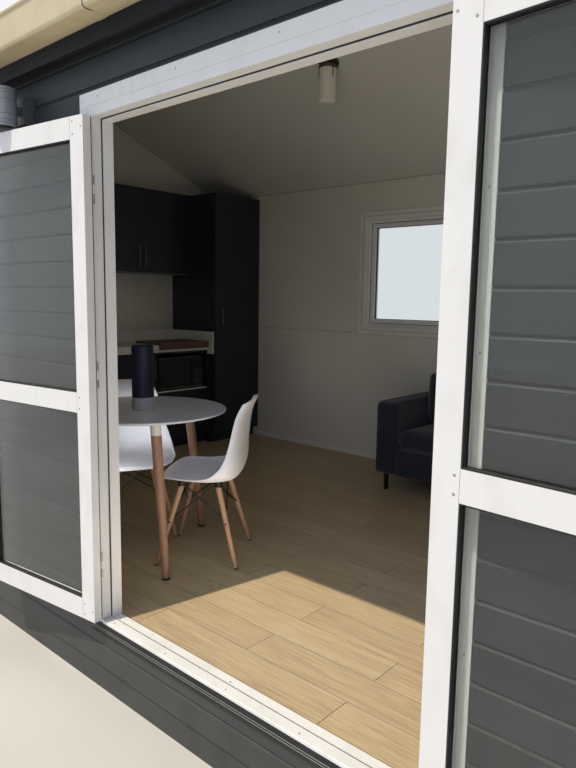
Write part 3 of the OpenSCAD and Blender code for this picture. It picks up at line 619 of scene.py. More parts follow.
def board_section(row_z, low, high):
    """The board's section between two heights: its face by interpolation, then back down the wall."""
    marks = BOARD_FACE[:, 0] + row_z
    heights = np.unique(np.round(np.concatenate([[low, high], marks[(marks > low) & (marks < high)]]), 6))
    out = np.interp(heights, marks, BOARD_FACE[:, 1])
    return np.concatenate([np.column_stack([out, heights]), [[0, heights[-1]], [0, heights[0]]]])


def on_wall(axis, side):
    """Turns section points (along, out, height) to the wall on one side of the cabin across an axis,
    seen from outside."""
    def place(p):
        along, out = side * p[:, 0], side * ((HX if axis == "X" else HY) + p[:, 1])
        return np.column_stack([out, along, p[:, 2]] if axis == "X" else [-along, out, p[:, 2]])
    return place


def clad(name, half, top, place, hole=None, gable=False, axis="X"):
    """Rows of boards from the first line to the top of a wall, with a hole left for its opening."""
    forms, tones = [], []
    for row in range(int((top - FIRST_LINE) / BOARD) + 1):
        z = FIRST_LINE + row * BOARD
        cuts = [z, min(z + BOARD, top)]
        if hole:
            cuts += [h for h in hole[2:] if cuts[0] < h < cuts[1]]
        tone = chance.uniform(0, 1)
        for low, high in zip(sorted(cuts)[:-1], sorted(cuts)[1:]):
            shape = board_section(z, low, high)
            reach = np.full(len(shape), half)
            if gable:
                reach = np.minimum(reach, np.maximum((RIDGE_Z - shape[:, 1]) / RISE, TIP_HALF))
            spans = [(-reach, reach)]
            if hole and hole[2] < (low + high) / 2 < hole[3]:
                spans = [(-reach, hole[0]), (hole[1], reach)]
            for a, b in spans:
                forms.append(run(shape, a, b, place))
                tones.append(np.full(len(forms[-1][0]), tone))
    put(name, gather(forms), board_paint[axis], "weatherboard", tone=np.concatenate(tones))


front = on_wall("Y", -1)
door_hole = (door_lo[0] - CLEAR, door_hi[0] + CLEAR, FLOOR_Z - 48 * MM, door_hi[2] + CLEAR)
win_hole = (-win_hi[0] - CLEAR, -win_lo[0] + CLEAR, win_lo[2] - CLEAR, win_hi[2] + CLEAR)
eave_top, gable_top = float(slope_z(HY)) - 2 * MM, RIDGE_Z - 4 * MM
clad("boards_front", HX - CORNER - CLEAR, eave_top, front, door_hole)
clad("boards_back", HX - CORNER - CLEAR, eave_top, on_wall("Y", 1), win_hole)
clad("boards_left_end", HY - CORNER - CLEAR, gable_top, on_wall("X", -1), gable=True, axis="Y")
clad("boards_right_end", HY - CORNER - CLEAR, gable_top, on_wall("X", 1), gable=True, axis="Y")
feet_z = (FIRST_LINE - 18 * MM, float(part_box("corner_trims")[0][2]) + 0.2 * MM)
feet = [((sx * HX, sy * (HY + TRIM_T), feet_z[0]), (sx * x, sy * y, feet_z[1]))
        for x, y in ((HX - CORNER, HY), (HX + TRIM_T, HY - CORNER)) for sx, sy in CORNERS]
put("corner_trim_feet", bars(feet), trim_paint["Z"], "dark_trim")
print("boards rise at", round(math.degrees(math.atan(RISE)), 1), "degrees under the roof")

# %% [markdown]
# The floor planks measure 155 by 932 mm on this floor and lie in a half bond, with a fine open joint
# between them. Each is a thin block with a rounded edge. The rows start at the front wall.

# %% Floor planks
PLANK = np.array([932 * MM, 155 * MM])
PLANK_T, OPEN_JOINT = 0.9 * MM, 1.8 * MM
FIRST_ROW_Y, BUTT_EVEN, BUTT_ODD = -1474 * MM, 815 * MM, 350 * MM
row_ids, col_ids = np.arange(-1, int(2 * IN_Y / PLANK[1]) + 1), np.arange(-5, 5)
rows, cols = (m.ravel() for m in np.meshgrid(row_ids, col_ids, indexing="ij"))
start = np.column_stack([np.where(rows % 2 == 0, BUTT_EVEN, BUTT_ODD) + cols * PLANK[0],
                         FIRST_ROW_Y + rows * PLANK[1]])
room = np.array([IN_X, IN_Y]) - 1 * MM
edges = (start + OPEN_JOINT / 2, start + PLANK - OPEN_JOINT / 2)
lows, highs = (np.clip(edge, -room, room) for edge in edges)
whole = np.all(highs - lows > 4 * MM, axis=1)
lows, highs = (np.column_stack([edge[whole], np.full(whole.sum(), z)])
               for edge, z in ((lows, FLOOR_Z), (highs, FLOOR_Z + PLANK_T)))
plank_tones = np.repeat(chance.uniform(0, 1, whole.sum()), 8)
soften(put("floor_planks", blocks(lows, highs), plank_finish, "floor_planks", tone=plank_tones), 0.5, 1)
print(int(whole.sum()), "planks")

# %% [markdown]
# The doors are hung on pins, so their small parts are placed in the closed leaf's own axes, with the
# pin at the origin and the leaf along X, and then swung to where the leaf stands open. The right leaf
# is the mirror image of the left. Screws at the corners hold the rails to the stiles.

# %% The leaf's own axes
FACE_Y = float(door_lo[1])
DOOR_X0, DOOR_X1, DOOR_TOP = float(door_lo[0]), float(door_hi[0]), float(door_hi[2])
JAMB, GAP, PIN_IN, PIN_OUT = 73 * MM, 6 * MM, 13 * MM, 6.5 * MM
LEAF_T, STILE, GLASS_T = 38 * MM, 73 * MM, 8 * MM
LEAF_Z0, LEAF_Z1 = FLOOR_Z + 24 * MM, DOOR_TOP - 90 * MM
LEAF_X0 = GAP - PIN_IN
LEAF_X1 = LEAF_X0 + (DOOR_X1 - DOOR_X0 - 2 * JAMB - 3 * GAP) / 2
PANES = [(LEAF_Z0 + 83 * MM, FLOOR_Z + 855 * MM), (FLOOR_Z + 933 * MM, LEAF_Z1 - 79 * MM)]
HINGES = FLOOR_Z + np.array([247, 1001, 1686]) * MM
REST = {"left_leaf": (DOOR_X0 + JAMB + PIN_IN, 1, -math.radians(173.4)),
        "right_leaf": (DOOR_X1 - JAMB - PIN_IN, -1, math.radians(174.5))}


def hung(form, body):
    """A form from the closed leaf's axes to the open leaf: mirrored for the right, turned, moved."""
    points, faces = form
    pin_x, side, angle = REST[body]
    x, y = points[:, 0] * side, points[:, 1]
    c, s = math.cos(angle), math.sin(angle)
    return np.column_stack([pin_x + c * x - s * y, FACE_Y - PIN_OUT + s * x + c * y, points[:, 2]]), faces


print("leaf is", round((LEAF_X1 - LEAF_X0) / MM), "by", round((LEAF_Z1 - LEAF_Z0) / MM), "mm")

# %% [markdown]
# Each pane sits in a black rubber wedge that shows as a dark line round the glass, 4 mm wide and
# nearly as deep as the stile's edge. A thinner wedge runs round the other face. Both are plain
# strips, because only their dark edges can be seen. One more black strip lies along the hinge edge.

# %% Seals round the panes, and the corner screws
y_mid = PIN_OUT + LEAF_T / 2
leaf_faces, stile_ends = (PIN_OUT + LEAF_T, PIN_OUT), (LEAF_X0 + STILE, LEAF_X1 - STILE)
WEDGES = ((4 * MM, y_mid + GLASS_T / 2, PIN_OUT + LEAF_T - 1.5 * MM),
          (3.5 * MM, y_mid - GLASS_T / 2, y_mid - GLASS_T / 2 - 4 * MM))
strips = [((LEAF_X0 - 0.3 * MM, PIN_OUT + 0.5 * MM, LEAF_Z0 + 2 * MM),
           (LEAF_X0, PIN_OUT + 4 * MM, LEAF_Z1 - 2 * MM))]
for pane in PANES:
    for wedge in WEDGES:
        strips += ring(*stile_ends, *pane, *wedge)
rails = (LEAF_Z0 + 42 * MM, (PANES[0][1] + PANES[1][0]) / 2, LEAF_Z1 - 40 * MM)
spots = [(x, y, z + dz) for z in rails for dz in (-22 * MM, 22 * MM)
         for x in (stile_ends[0] - 14 * MM, stile_ends[1] + 14 * MM) for y in leaf_faces]
spots += [(x, y, z) for z in (rails[0], rails[2]) for x in (LEAF_X0 + 12 * MM, LEAF_X1 - 12 * MM)
          for y in leaf_faces]
spots = np.array(spots)
outward = np.where(spots[:, 1:2] > y_mid, [[0, 1.0, 0]], [[0, -1.0, 0]])
heads = aim(turned([[3.8, -0.6], [3.8, 0.5], [2.4, 0.9], [1.6, 0.3]], sides=12), outward, spots)
joints = [((x - 0.4 * MM, y, z0 + 1 * MM), (x + 0.4 * MM, y + 0.12 * MM, z1 - 1 * MM))
          for z0, z1 in ((LEAF_Z0, PANES[0][0]), (PANES[0][1], PANES[1][0]), (PANES[1][1], LEAF_Z1))
          for x in stile_ends for y in (PIN_OUT - 0.12 * MM, PIN_OUT + LEAF_T)]
for body in REST:
    put(body + "_pane_seals", hung(bars(strips), body), rubber, "white_powder_coat", body)
    put(body + "_corner_screws", hung(heads, body), zinc, "handle_metal", body, smooth=True)
    put(body + "_joint_lines", hung(bars(joints), body), rubber, "white_powder_coat", body)
print("pane seals, joints and screws on both leaves")

# %% [markdown]
# Each hinge is screwed on: three screws in its flap on the frame and three in its flap on the leaf.
# The frame has its own screws down the face, and the sill has them beside its seal groove. A black
# seal runs in the rebate, clear of the closed leaves by 2 mm, and a second one in the sill's groove.

# %% Hinge, frame and sill screws, and the frame's seals
flap = np.array([(26 * MM, PIN_OUT - 3 * MM, z + dz) for z in HINGES for dz in (-34 * MM, 0, 34 * MM)])
for body, (pin_x, side, _) in REST.items():
    put_screws(body + "_hinge_screws", flap, (0, -1, 0), 3.6, 1.4, body)
    fixed = [(pin_x - side * x, FACE_Y - 3 * MM, z) for x, _, z in flap]
    put_screws(body + "_frame_hinge_screws", fixed, (0, -1, 0), 3.6, 1.4)
HEAD_SCREW_X, HEAD_STEP, SILL_SCREW_X, SILL_STEP = 0.269, 0.44, -0.156, 0.323
GROOVE_SCREWS_X = (-0.177, 0.469, 1.115)
face_spots = [(HEAD_SCREW_X + HEAD_STEP * k, DOOR_TOP - 22 * MM) for k in range(-2, 2)]
face_spots += [(x, z) for x in (DOOR_X0 + 18 * MM, DOOR_X1 - 18 * MM)
               for z in np.linspace(FLOOR_Z + 120 * MM, DOOR_TOP - 130 * MM, 6)]
face_spots += [(x, DOOR_TOP - dz) for x in (DOOR_X0 + 12 * MM, DOOR_X1 - 12 * MM)
               for dz in (26 * MM, 58 * MM)]
put_screws("frame_screws", [(x, FACE_Y, z) for x, z in face_spots], (0, -1, 0), 3.0, 0.9)
sill_lo, sill_hi = np.array(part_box("door_sill"))
sill_spots = [(SILL_SCREW_X + SILL_STEP * k, sill_lo[1] + 17 * MM, sill_hi[2] - 0.6 * MM) for k in range(6)]
sill_spots += [(x, sill_lo[1] + 59 * MM, sill_hi[2] - 2 * MM) for x in GROOVE_SCREWS_X]
put_screws("sill_screws", sill_spots, (0, 0, 1), 3.2, 1.0)
STOP_Y, SEAL_T, SEAL_W = FACE_Y + 44 * MM, 3.2 * MM, 4 * MM
x0, x1, z0, z1 = DOOR_X0 + JAMB, DOOR_X1 - JAMB, FLOOR_Z + 14 * MM, DOOR_TOP - 84 * MM
rebate = [((x0, z0), (x0 + SEAL_W, z1)), ((x1 - SEAL_W, z0), (x1, z1)), ((x0, z1 - SEAL_W), (x1, z1))]
seals = [((a[0], STOP_Y - SEAL_T, a[1]), (b[0], STOP_Y, b[1])) for a, b in rebate]
seals.append(((sill_lo[0] + MM, sill_lo[1] + 42.4 * MM, sill_hi[2] - 4 * MM),
              (sill_hi[0] - MM, sill_lo[1] + 45.6 * MM, sill_hi[2] - 0.8 * MM)))
put("frame_seals", bars(seals), rubber, "white_powder_coat")
print(len(face_spots) + len(sill_spots) + 4 * len(flap), "door screws")

# %% [markdown]
# The window's pane has a dark seal line. The sash, the frame and the trim, which are imported nodes already,
# get dark lines round their edges: painted shade in the gaps between them. A few screws in the frame's
# flange are added too.

# %% Window seals, painted shade lines and screws
pane_lo, pane_hi = np.array(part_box("window_glass"))
sash, trim = np.array(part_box("window_sash")), np.array(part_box("window_architrave"))
pane_x, pane_z = ((pane_lo[k] + 10 * MM, pane_hi[k] - 10 * MM) for k in (0, 2))
strips = []
for y in (pane_lo[1] - 5 * MM, pane_hi[1]):
    strips += ring(*pane_x, *pane_z, 4 * MM, y, y + 5 * MM)
# Dark lines round the sash, trim and frame: painted shade in the gaps between them.
for (lo, hi), grow, bar, y in ((sash, 4 * MM, 4 * MM, IN_Y + 22 * MM), (trim, 2 * MM, 2.2 * MM, IN_Y),
                               ((win_lo, win_hi), -6 * MM, 2 * MM, IN_Y - 12 * MM)):
    strips += ring(lo[0] - grow, hi[0] + grow, lo[2] - grow, hi[2] + grow, bar, y - 0.6 * MM, y)
put("window_seals_and_shade_lines", bars(strips), rubber, "white_powder_coat")
flange_z = np.linspace(win_lo[2] + 60 * MM, win_hi[2] - 60 * MM, 4)
flange = [(x, win_hi[1], z) for x in (win_lo[0] + 12 * MM, win_hi[0] - 12 * MM) for z in flange_z]
put_screws("window_flange_screws", flange, (0, 1, 0), 3.0, 0.9)
print("window pane shows", [round(float(b - a), 3) for a, b in (pane_x, pane_z)], "m")

# %% [markdown]
# The gutter is pressed from prepainted steel, with a half-round bead along its top edge, and straps
# that hold the lip. Where two lengths meet, one laps 50 mm over the other and is riveted through, with
# a dark line of sealant at its edge that ends a little way in under the gutter.

# %% Gutter bead, laps and straps
gut_lo, gut_hi = np.array(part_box("gutters"))
GUT_Z0, GUT_Z1, GUT_Y = float(gut_lo[2]), float(gut_hi[2]), float(gut_hi[1])
FASCIA_Y = GUT_Y - 92 * MM
CORNER_R, LIP_DOWN, SEALANT_W, BEAD_R = 12 * MM, 22 * MM, 24 * MM, 7 * MM
LAP_X = (-2.00, 0.021, 2.04)


def both_eaves(form):
    """A form at the back eave, and its copy turned to the front by reversing Y."""
    points, faces = form
    return gather([(points, faces), (points * [1, -1, 1], [f[:, ::-1] for f in faces])])


def gutter_outline(off):
    """The gutter's outside at an offset: bottom, quarter circle of radius 12 mm + off, and front."""
    a = np.linspace(-np.pi / 2, 0, 7)
    arc = np.column_stack([GUT_Y - CORNER_R + (CORNER_R + off) * np.cos(a),
                           GUT_Z0 + CORNER_R + (CORNER_R + off) * np.sin(a)])
    return np.vstack([[FASCIA_Y, GUT_Z0 - off], arc, [GUT_Y + off, GUT_Z1 - LIP_DOWN]])


half_turn = np.linspace(-np.pi / 2, np.pi / 2, 11)
bead = np.column_stack([GUT_Y + BEAD_R * np.cos(half_turn), GUT_Z1 - 7.5 * MM + BEAD_R * np.sin(half_turn)])
put("gutter_beads", both_eaves(run(bead, gut_lo[0] + MM, gut_hi[0] - MM)), gutter_coat, "gutter_paint")
lap, sealant = (np.vstack([gutter_outline(off * MM), gutter_outline(0.1 * MM)[::-1]]) for off in (1.6, 1.75))
sealant[:, 0] = np.maximum(sealant[:, 0], GUT_Y - CORNER_R - SEALANT_W)
for name, section, before, after, mat in (("gutter_laps", lap, 50 * MM, 0, gutter_coat),
                                          ("gutter_sealant", sealant, 0, 2.4 * MM, rubber)):
    form = gather([run(section, x - before, x + after) for x in LAP_X])
    put(name, both_eaves(form), mat, "gutter_paint")
under = [(x - 19 * MM, FASCIA_Y + 38 * MM, GUT_Z0 - 1.5 * MM) for x in LAP_X]
facing = [(x - 19 * MM, GUT_Y + 1.5 * MM, GUT_Z0 + z) for x in LAP_X for z in (40 * MM, 80 * MM)]
rivets = gather([screw_heads(under, (0, 0, -1), 3.0, 1.4), screw_heads(facing, (0, 1, 0), 3.0, 1.4)])
put("gutter_rivets", both_eaves(rivets), zinc, "handle_metal")
strap_x = np.linspace(gut_lo[0] + 0.25, gut_hi[0] - 0.25, 7)
straps = [((x - 9 * MM, FASCIA_Y + y0 * MM, GUT_Z0 + 44 * MM),
           (x + 9 * MM, GUT_Y - y1 * MM, GUT_Z0 + z1 * MM))
          for x in strap_x for y0, y1, z1 in ((3, 5.2, 46), (86.8, 3.2, 108))]
put("gutter_straps", both_eaves(bars(straps)), zinc, "handle_metal")
print(len(LAP_X) * 2, "laps and", len(strap_x) * 2, "straps")

# %% [markdown]
# Hexagon-headed screws with a washer hold the roof steel on top of its ribs, in five rows a slope.
# The boards on the gables and eaves are nailed, and the nail heads are painted over, so they are left
# out.

# %% Roof screws
rib_x = (np.arange(31) - 15)[::2] * 0.2
ROWS_Y, SHEET_OUT, RIB_OUT = (0.28, 0.60, 0.94, 1.28, 1.60), 100 * MM, 32 * MM
pitch = math.atan(RISE)
rib_top = np.array([0.0, math.sin(pitch), math.cos(pitch)])
ridge_line = RIDGE_Z + SHEET_OUT / math.cos(pitch)
spots = np.array([(x, y, ridge_line - y * RISE) for y in ROWS_Y for x in rib_x]) + rib_top * RIB_OUT
hex_head = gather([turned([[8, -1], [8, 0.8], [5, 1.2]], sides=12),
                   turned([[4.6, 1.0], [4.6, 5], [3.4, 5.8]], sides=6)])
put("roof_screws", both_eaves(aim(hex_head, rib_top, spots)), roof_coat, "roof_steel")
print(2 * len(spots), "roof screws")

# %% [markdown]
# A dark flashing covers the cladding's top edge under the sill. The lower part of its drop, past the folds,
# is painted shade under the sill. Two fine bright folds run along it.

# %% Sill flashing, with painted shade
def along_sill(section_mm):
    """A section of (out, height from the floor) in mm, run below the sill from jamb to jamb."""
    section = np.array(section_mm) * MM + [0, FLOOR_Z]
    return run(section, DOOR_X0 + 2 * MM, DOOR_X1 - 2 * MM, front)


# The drop runs 48 mm down: flashing at the top, painted shade under the sill below the folds.
flash_with_shade = [[0.5, -0.4], [12.2, -0.4], [12.2, -46.5], [13.6, -48.5], [12.8, -49.1], [11.0, -47],
         [11.0, -1.4], [0.5, -1.4]]
put("sill_flashing_with_painted_shade", along_sill(flash_with_shade), eave_shade_paint, "dark_trim")
folds = [along_sill([[12.1, z - 0.9], [13.8, z - 0.6], [13.8, z + 0.3], [12.1, z + 0.9]])
         for z in (-23, -32)]
put("sill_flashing_folds", gather(folds), zinc, "dark_trim")
print("flashing", round(DOOR_X1 - DOOR_X0, 3), "m long")

# %% [markdown]
# Inside, a small square bead covers the joint of each gable with the sloping ceiling, below a fine gap drawn
# as a thin black strip: painted shade in the gap. The same strip of painted shade lies where the long walls
# meet the ceiling.

# %% Ceiling beads and painted shade gaps
def under_roof(low, high):
    """A block in (out from the gable, distance from the ridge, drop below the slope), at all four
    inside corners of the roof."""
    points, faces = blocks(low, high)
    out, y, drop = points.T
    return [(np.column_stack([sx * (IN_X - out), sy * y, slope_z(y) - drop]), faces) for sx, sy in CORNERS]


BEAD, GAP_T = 17 * MM, 3 * MM
beads = gather(under_roof((0, 0, GAP_T), (BEAD, IN_Y, GAP_T + BEAD)))
soften(put("ceiling_beads", beads, enamel_trim, "inside_trim"), 2.0, 2)
# The black strips are painted shade in the gaps under the roof.
long_shade_gap = both_eaves(blocks((-IN_X, IN_Y - 2 * MM, EAVE_Z - GAP_T / 2), (IN_X, IN_Y, EAVE_Z)))
shade_gaps = gather(under_roof((0, 0, 0.2 * MM), (BEAD - 3 * MM, IN_Y, GAP_T)) + [long_shade_gap])
put("ceiling_shade_gaps", shade_gaps, rubber, "inside_trim")
print("beads are", round(math.hypot(IN_Y, IN_Y * RISE), 3), "m long")

# %% [markdown]
# The kitchen run needs its thin parts: a splashback sheet with a white trim at its open end and along
# the bench, a light strip let into the underside of the wall cupboards, the oven's window, buttons,
# display and bright edges, and the pale edging of the shelf that it stands on.

# %% Kitchen parts
(_, unit_y0, unit_z), (unit_x, unit_y1, _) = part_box("wall_cupboards")
bench_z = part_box("bench_top")[1][2]
(_, y0, shelf_z), (_, y1, z1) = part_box("microwave")
OVEN_X, NICHE_X = -IN_X + 494 * MM, -IN_X + 498 * MM
z0 = shelf_z + 14 * MM
button_y, button_z = (m.ravel() for m in np.meshgrid(y1 - 77 * MM + 27 * MM * np.arange(3),
                                                     z0 + 40 * MM + 26 * MM * np.arange(5)))
buttons = [((OVEN_X, y - 10 * MM, z - 7 * MM), (OVEN_X + 1.6 * MM, y + 10 * MM, z + 7 * MM))
           for y, z in zip(button_y, button_z)]
# Each piece has its finish, its slot, its bevel (mm, segments) and its pairs of corners.
KITCHEN = {
    "splashback": (splash_panel, "bench_laminate", (0.6, 1), [
        ((-IN_X, unit_y0 + 1 * MM, bench_z), (-IN_X + 4 * MM, unit_y1, unit_z))]),
    "splashback_trims": (enamel_trim, "inside_trim", (1.5, 2), [
        ((-IN_X, unit_y0 - 9 * MM, bench_z - 98 * MM), (-IN_X + 9 * MM, unit_y0 + MM, unit_z)),
        ((-IN_X, unit_y0 + MM, bench_z), (-IN_X + 8 * MM, unit_y1, bench_z + 5 * MM))]),
    "light_strip": (diffuser, "bench_laminate", (2.0, 2), [
        ((unit_x - 39.5 * MM, unit_y0 + 31 * MM, unit_z - 2 * MM),
         (unit_x - 22.5 * MM, unit_y1 - 31 * MM, unit_z + 7.5 * MM))]),
    "oven_window": (oven_glass, "oven_case", (1.0, 2), [
        ((OVEN_X - 4.8 * MM, y0 + 31 * MM, z0 + 35 * MM),
         (OVEN_X - 1.2 * MM, y1 - 131 * MM, z1 - 27 * MM))]),
    "oven_display": (oven_glass, "oven_case", (0.4, 1), [
        ((OVEN_X, y1 - 86 * MM, z1 - 58 * MM), (OVEN_X + 1.2 * MM, y1 - 14 * MM, z1 - 30 * MM))]),
    "oven_buttons": (lamp_coat, "oven_case", (0.7, 2), buttons),
    "oven_edge_lines": (steel, "oven_case", None, [
        ((OVEN_X, y1 - 3 * MM, z0 + MM), (OVEN_X + MM, y1 - MM, z1 - MM)),
        ((OVEN_X, y0 + MM, z0 + MM), (OVEN_X + MM, y1 - 3 * MM, z0 + 5 * MM)),
        ((OVEN_X, y0 + MM, z1 - 3 * MM), (OVEN_X + MM, y1 - 3 * MM, z1 - MM))]),
    "niche_edging": (enamel_trim, "inside_trim", None, [
        ((NICHE_X, y0 - 13 * MM, shelf_z - 13 * MM), (NICHE_X + 1.2 * MM, y1 + 45 * MM, shelf_z - MM))])}
for name, (mat, slot_name, round_off, pairs) in KITCHEN.items():
    piece = put(name, bars(pairs), mat, slot_name)
    if round_off:
        soften(piece, *round_off)
print("splashback is", round(float(unit_z - bench_z), 3), "m high")

# %% [markdown]
# The chair seat is one moulded shell. Its middle line, half width, side lift and wrap are given at ten
# stations and joined by a smooth curve; across the shell, a power of the distance from the middle lifts the
# sides. The surface is then given 5 mm of thickness and a rounded rim. A black bolt holds the wire on the
# outer side of each leg.

# %% Chair shells
SHELL_MID = np.array([[-205, 396], [-196, 416], [-130, 431], [-20, 423], [90, 415], [185, 424],
                      [217, 496], [221, 599], [239, 732], [274, 819]]) * MM
SHELL_HALF = np.array([118, 176, 212, 229, 239, 234, 223, 203, 176, 146]) * MM
SHELL_LIFT = np.array([0, 4, 14, 21, 41, 70, 41, 7, 0, -20]) * MM
SHELL_WRAP = np.array([-8, -4, 0, -6, 10, 52, 58, 42, 34, 38]) * MM
SHELL_ROWS, SHELL_COLS = 96, 44
CHAIRS = [(-488 * MM, -809 * MM, -55), (-1004 * MM, -868 * MM, 63)]
LEG_FEET = np.array([[-205, -178, 0], [205, -178, 0], [-193, 215, 0], [193, 215, 0]]) * MM
LEG_TOPS = np.array([[-128, -70, 385], [128, -70, 385], [-122, 112, 385], [122, 112, 385]]) * MM


def smooth_curve(stations, t):
    """Catmull-Rom curve through stations: each piece blends four neighbours by a cubic."""
    n = len(stations) - 1
    i = np.clip((t * n).astype(int), 0, n - 1)
    f = t * n - i
    a, b = stations[np.maximum(i - 1, 0)], stations[i]
    c, d = stations[i + 1], stations[np.minimum(i + 2, n)]
    f = f.reshape(f.shape + (1,) * (stations.ndim - 1))
    straight = 2 * b + (c - a) * f
    return 0.5 * (straight + (2 * a - 5 * b + 4 * c - d) * f ** 2 + (3 * b - a - 3 * c + d) * f ** 3)


def shell_surface():
    """x = half * sin(90 u) * (0.86 + 0.14 |u|); y and z leave the middle line by |u| to the 2.4."""
    v, u = np.meshgrid(np.linspace(0, 1, SHELL_ROWS), np.linspace(-1, 1, SHELL_COLS), indexing="ij")
    mid, power = smooth_curve(SHELL_MID, v), np.abs(u) ** 2.4
    x = smooth_curve(SHELL_HALF, v) * np.sin(np.pi / 2 * u) * (0.86 + 0.14 * np.abs(u))
    y = mid[..., 0] - power * smooth_curve(SHELL_WRAP, v)
    z = mid[..., 1] + power * smooth_curve(SHELL_LIFT, v)
    return np.stack([x, y, z], -1).reshape(-1, 3), [grid_faces(SHELL_ROWS, SHELL_COLS)]


def at_chairs(form):
    """A form from a chair's own axes to both places at the table."""
    points, faces = form
    copies = []
    for x, y, angle in CHAIRS:
        c, s = math.cos(math.radians(angle)), math.sin(math.radians(angle))
        copies.append((points @ np.array([[c, s, 0], [-s, c, 0], [0, 0, 1]]) + [x, y, FLOOR_Z], faces))
    return gather(copies)


shells = put("chair_seats", at_chairs(shell_surface()), chair_plastic, "chair_shell_plastic", smooth=True,
             closed=False)
wall = shells.modifiers.new("wall", "SOLIDIFY")
wall.thickness, wall.offset = 5 * MM, -1
soften(shells, 1.9, 3, 60)
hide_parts("chair_shells")
bolt_way = np.sign(LEG_FEET * [1, 0, 0])
bolts = screw_heads(LEG_FEET * 0.45 + LEG_TOPS * 0.55 + bolt_way * 13 * MM, bolt_way, 5.0, 2.6)
put("chair_leg_bolts", at_chairs(bolts), wire_coat, "black_wire", smooth=True)
print("two shells of", len(shells.data.polygons), "faces before their wall")

# %% [markdown]
# The lamp indoors hangs from the sloping ceiling: a dark plate lies on the slope, a dark holder hangs
# plumb from it with three clips, and a ribbed, frosted glass is closed at its foot. The ribs are a
# ripple of the radius with the angle.

# %% Ceiling lamp
LAMP = np.array([-0.630, 0.322, float(slope_z(0.322))])
plate = aim(turned([[70, 0.2], [70, 8], [62, 12], [0.1, 12]], sides=48), -rib_top, LAMP)
holder = turned([[30, 20], [30, -22], [56, -26], [56.5, -44], [40, -46]], LAMP, 48)
clip, clip_faces = blocks((53.5, -3.5, -100), (56, 3.5, -40))
clips = []
for angle in np.radians(HEADING + 180 + 120 * np.arange(3)):
    c, s = math.cos(angle), math.sin(angle)
    clips.append((clip * MM @ np.array([[c, s, 0], [-s, c, 0], [0, 0, 1]]) + LAMP, clip_faces))
lamp_base = put("lamp_plate_and_holder", gather([plate, holder] + clips), bracket_metal, "lamp_parts",
                smooth=True)
foot = np.linspace(np.pi / 2, 0, 7)
glass_line = [[50, -43], [52, -50]] + [[51, z] for z in np.linspace(-60, -225, 9)]
glass_line += [[33 + 18 * math.sin(a), -227 - 18 * math.cos(a)] for a in foot] + [[0.5, -245]]
put("lamp_ribbed_glass", turned(glass_line, LAMP, 144, lambda a: 1 + 0.022 * np.cos(24 * a)), frosted,
    "lamp_parts", smooth=True)
soften(lamp_base, 1.2, 2, 35)
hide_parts("ceiling_light")
print("lamp hangs from", round(float(LAMP[2]), 3), "m")

# %% [markdown]
# The lamp outside is a grey tube that lights the wall up and down. A glass disc closes each end, and
# three pressed rings run round it near each rim.

# %% Wall lamp
out_lo, out_hi = np.array(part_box("outdoor_light"))
tube = np.array([(out_lo[0] + out_hi[0]) / 2, out_lo[1] + 52 * MM, (out_lo[2] + out_hi[2]) / 2])


def on_tube(outline, heights):
    """One turned part on the lamp's axis at each of the heights in mm."""
    return gather([turned(outline, tube + [0, 0, z * MM], 48) for z in heights])


lenses = on_tube([[0.5, -2.0], [45.8, -2.0], [45.8, 2.0], [0.5, 2.0]], (-57, 57))
put("wall_lamp_lenses", lenses, diffuser, "grey_lamp")
rings = on_tube([[51.7, -0.8], [52.4, -0.5], [52.4, 0.5], [51.7, 0.8]], (-62, -50, -28, 28, 50, 62))
put("wall_lamp_rings", rings, wire_coat, "grey_lamp", smooth=True)
box_spots = [(tube[0] + sx * 36 * MM, -HY - 48 * MM, tube[2] + sz * 43 * MM) for sx, sz in CORNERS]
put_screws("wall_lamp_screws", box_spots, (0, -1, 0), 2.6, 0.9)
print("wall lamp at", [round(float(v), 3) for v in tube])

# %% [markdown]
# The sofa is upholstered. Its arms, back and deck are foam boxes: a rounded block whose panels swell
# a little in the middle, with piping round the side panels. The loose seat and back cushions are
# stuffed, so they are simulated as cloth blown up from inside, with gravity off and the travel
# limited.

# %% Padded forms
ROPE = 3.2 * MM
VOXEL, TRAVEL, CLOTH_STEPS = 11 * MM, 9 * MM, 18
CLOTH = {"quality": 4, "mass": 0.25, "tension_stiffness": 12, "compression_stiffness": 12,
         "bending_stiffness": 0.8, "use_pressure": True, "uniform_pressure_force": 4.0}


def padded_block(low, high, radius, crown, count=22):
    """A cube's six faces pushed to a box with rounded corners, each panel crowned by
    crown * (1 - u^2) * (1 - v^2) along its normal."""
    low, high = np.asarray(low, float), np.asarray(high, float)
    half, centre = (high - low) / 2, (high + low) / 2
    line = np.tanh(np.linspace(-1.6, 1.6, count)) / np.tanh(1.6)
    v, u = (m.ravel() for m in np.meshgrid(line, line, indexing="ij"))
    faces = grid_faces(count, count)
    forms = []
    for axis in range(3):
        for side in (-1, 1):
            q = np.zeros((len(u), 3))
            q[:, axis], q[:, (axis + 1) % 3], q[:, (axis + 2) % 3] = side, u, v
            core = np.clip(q * half, -(half - radius), half - radius)
            away = q * half - core
            length = np.linalg.norm(away, axis=1, keepdims=True)
            p = core + away / np.maximum(length, 1e-9) * radius
            p[:, axis] += side * crown * (1 - u ** 2) * (1 - v ** 2)
            forms.append((p + centre, [faces if side > 0 else faces[:, ::-1]]))
    return gather(forms)


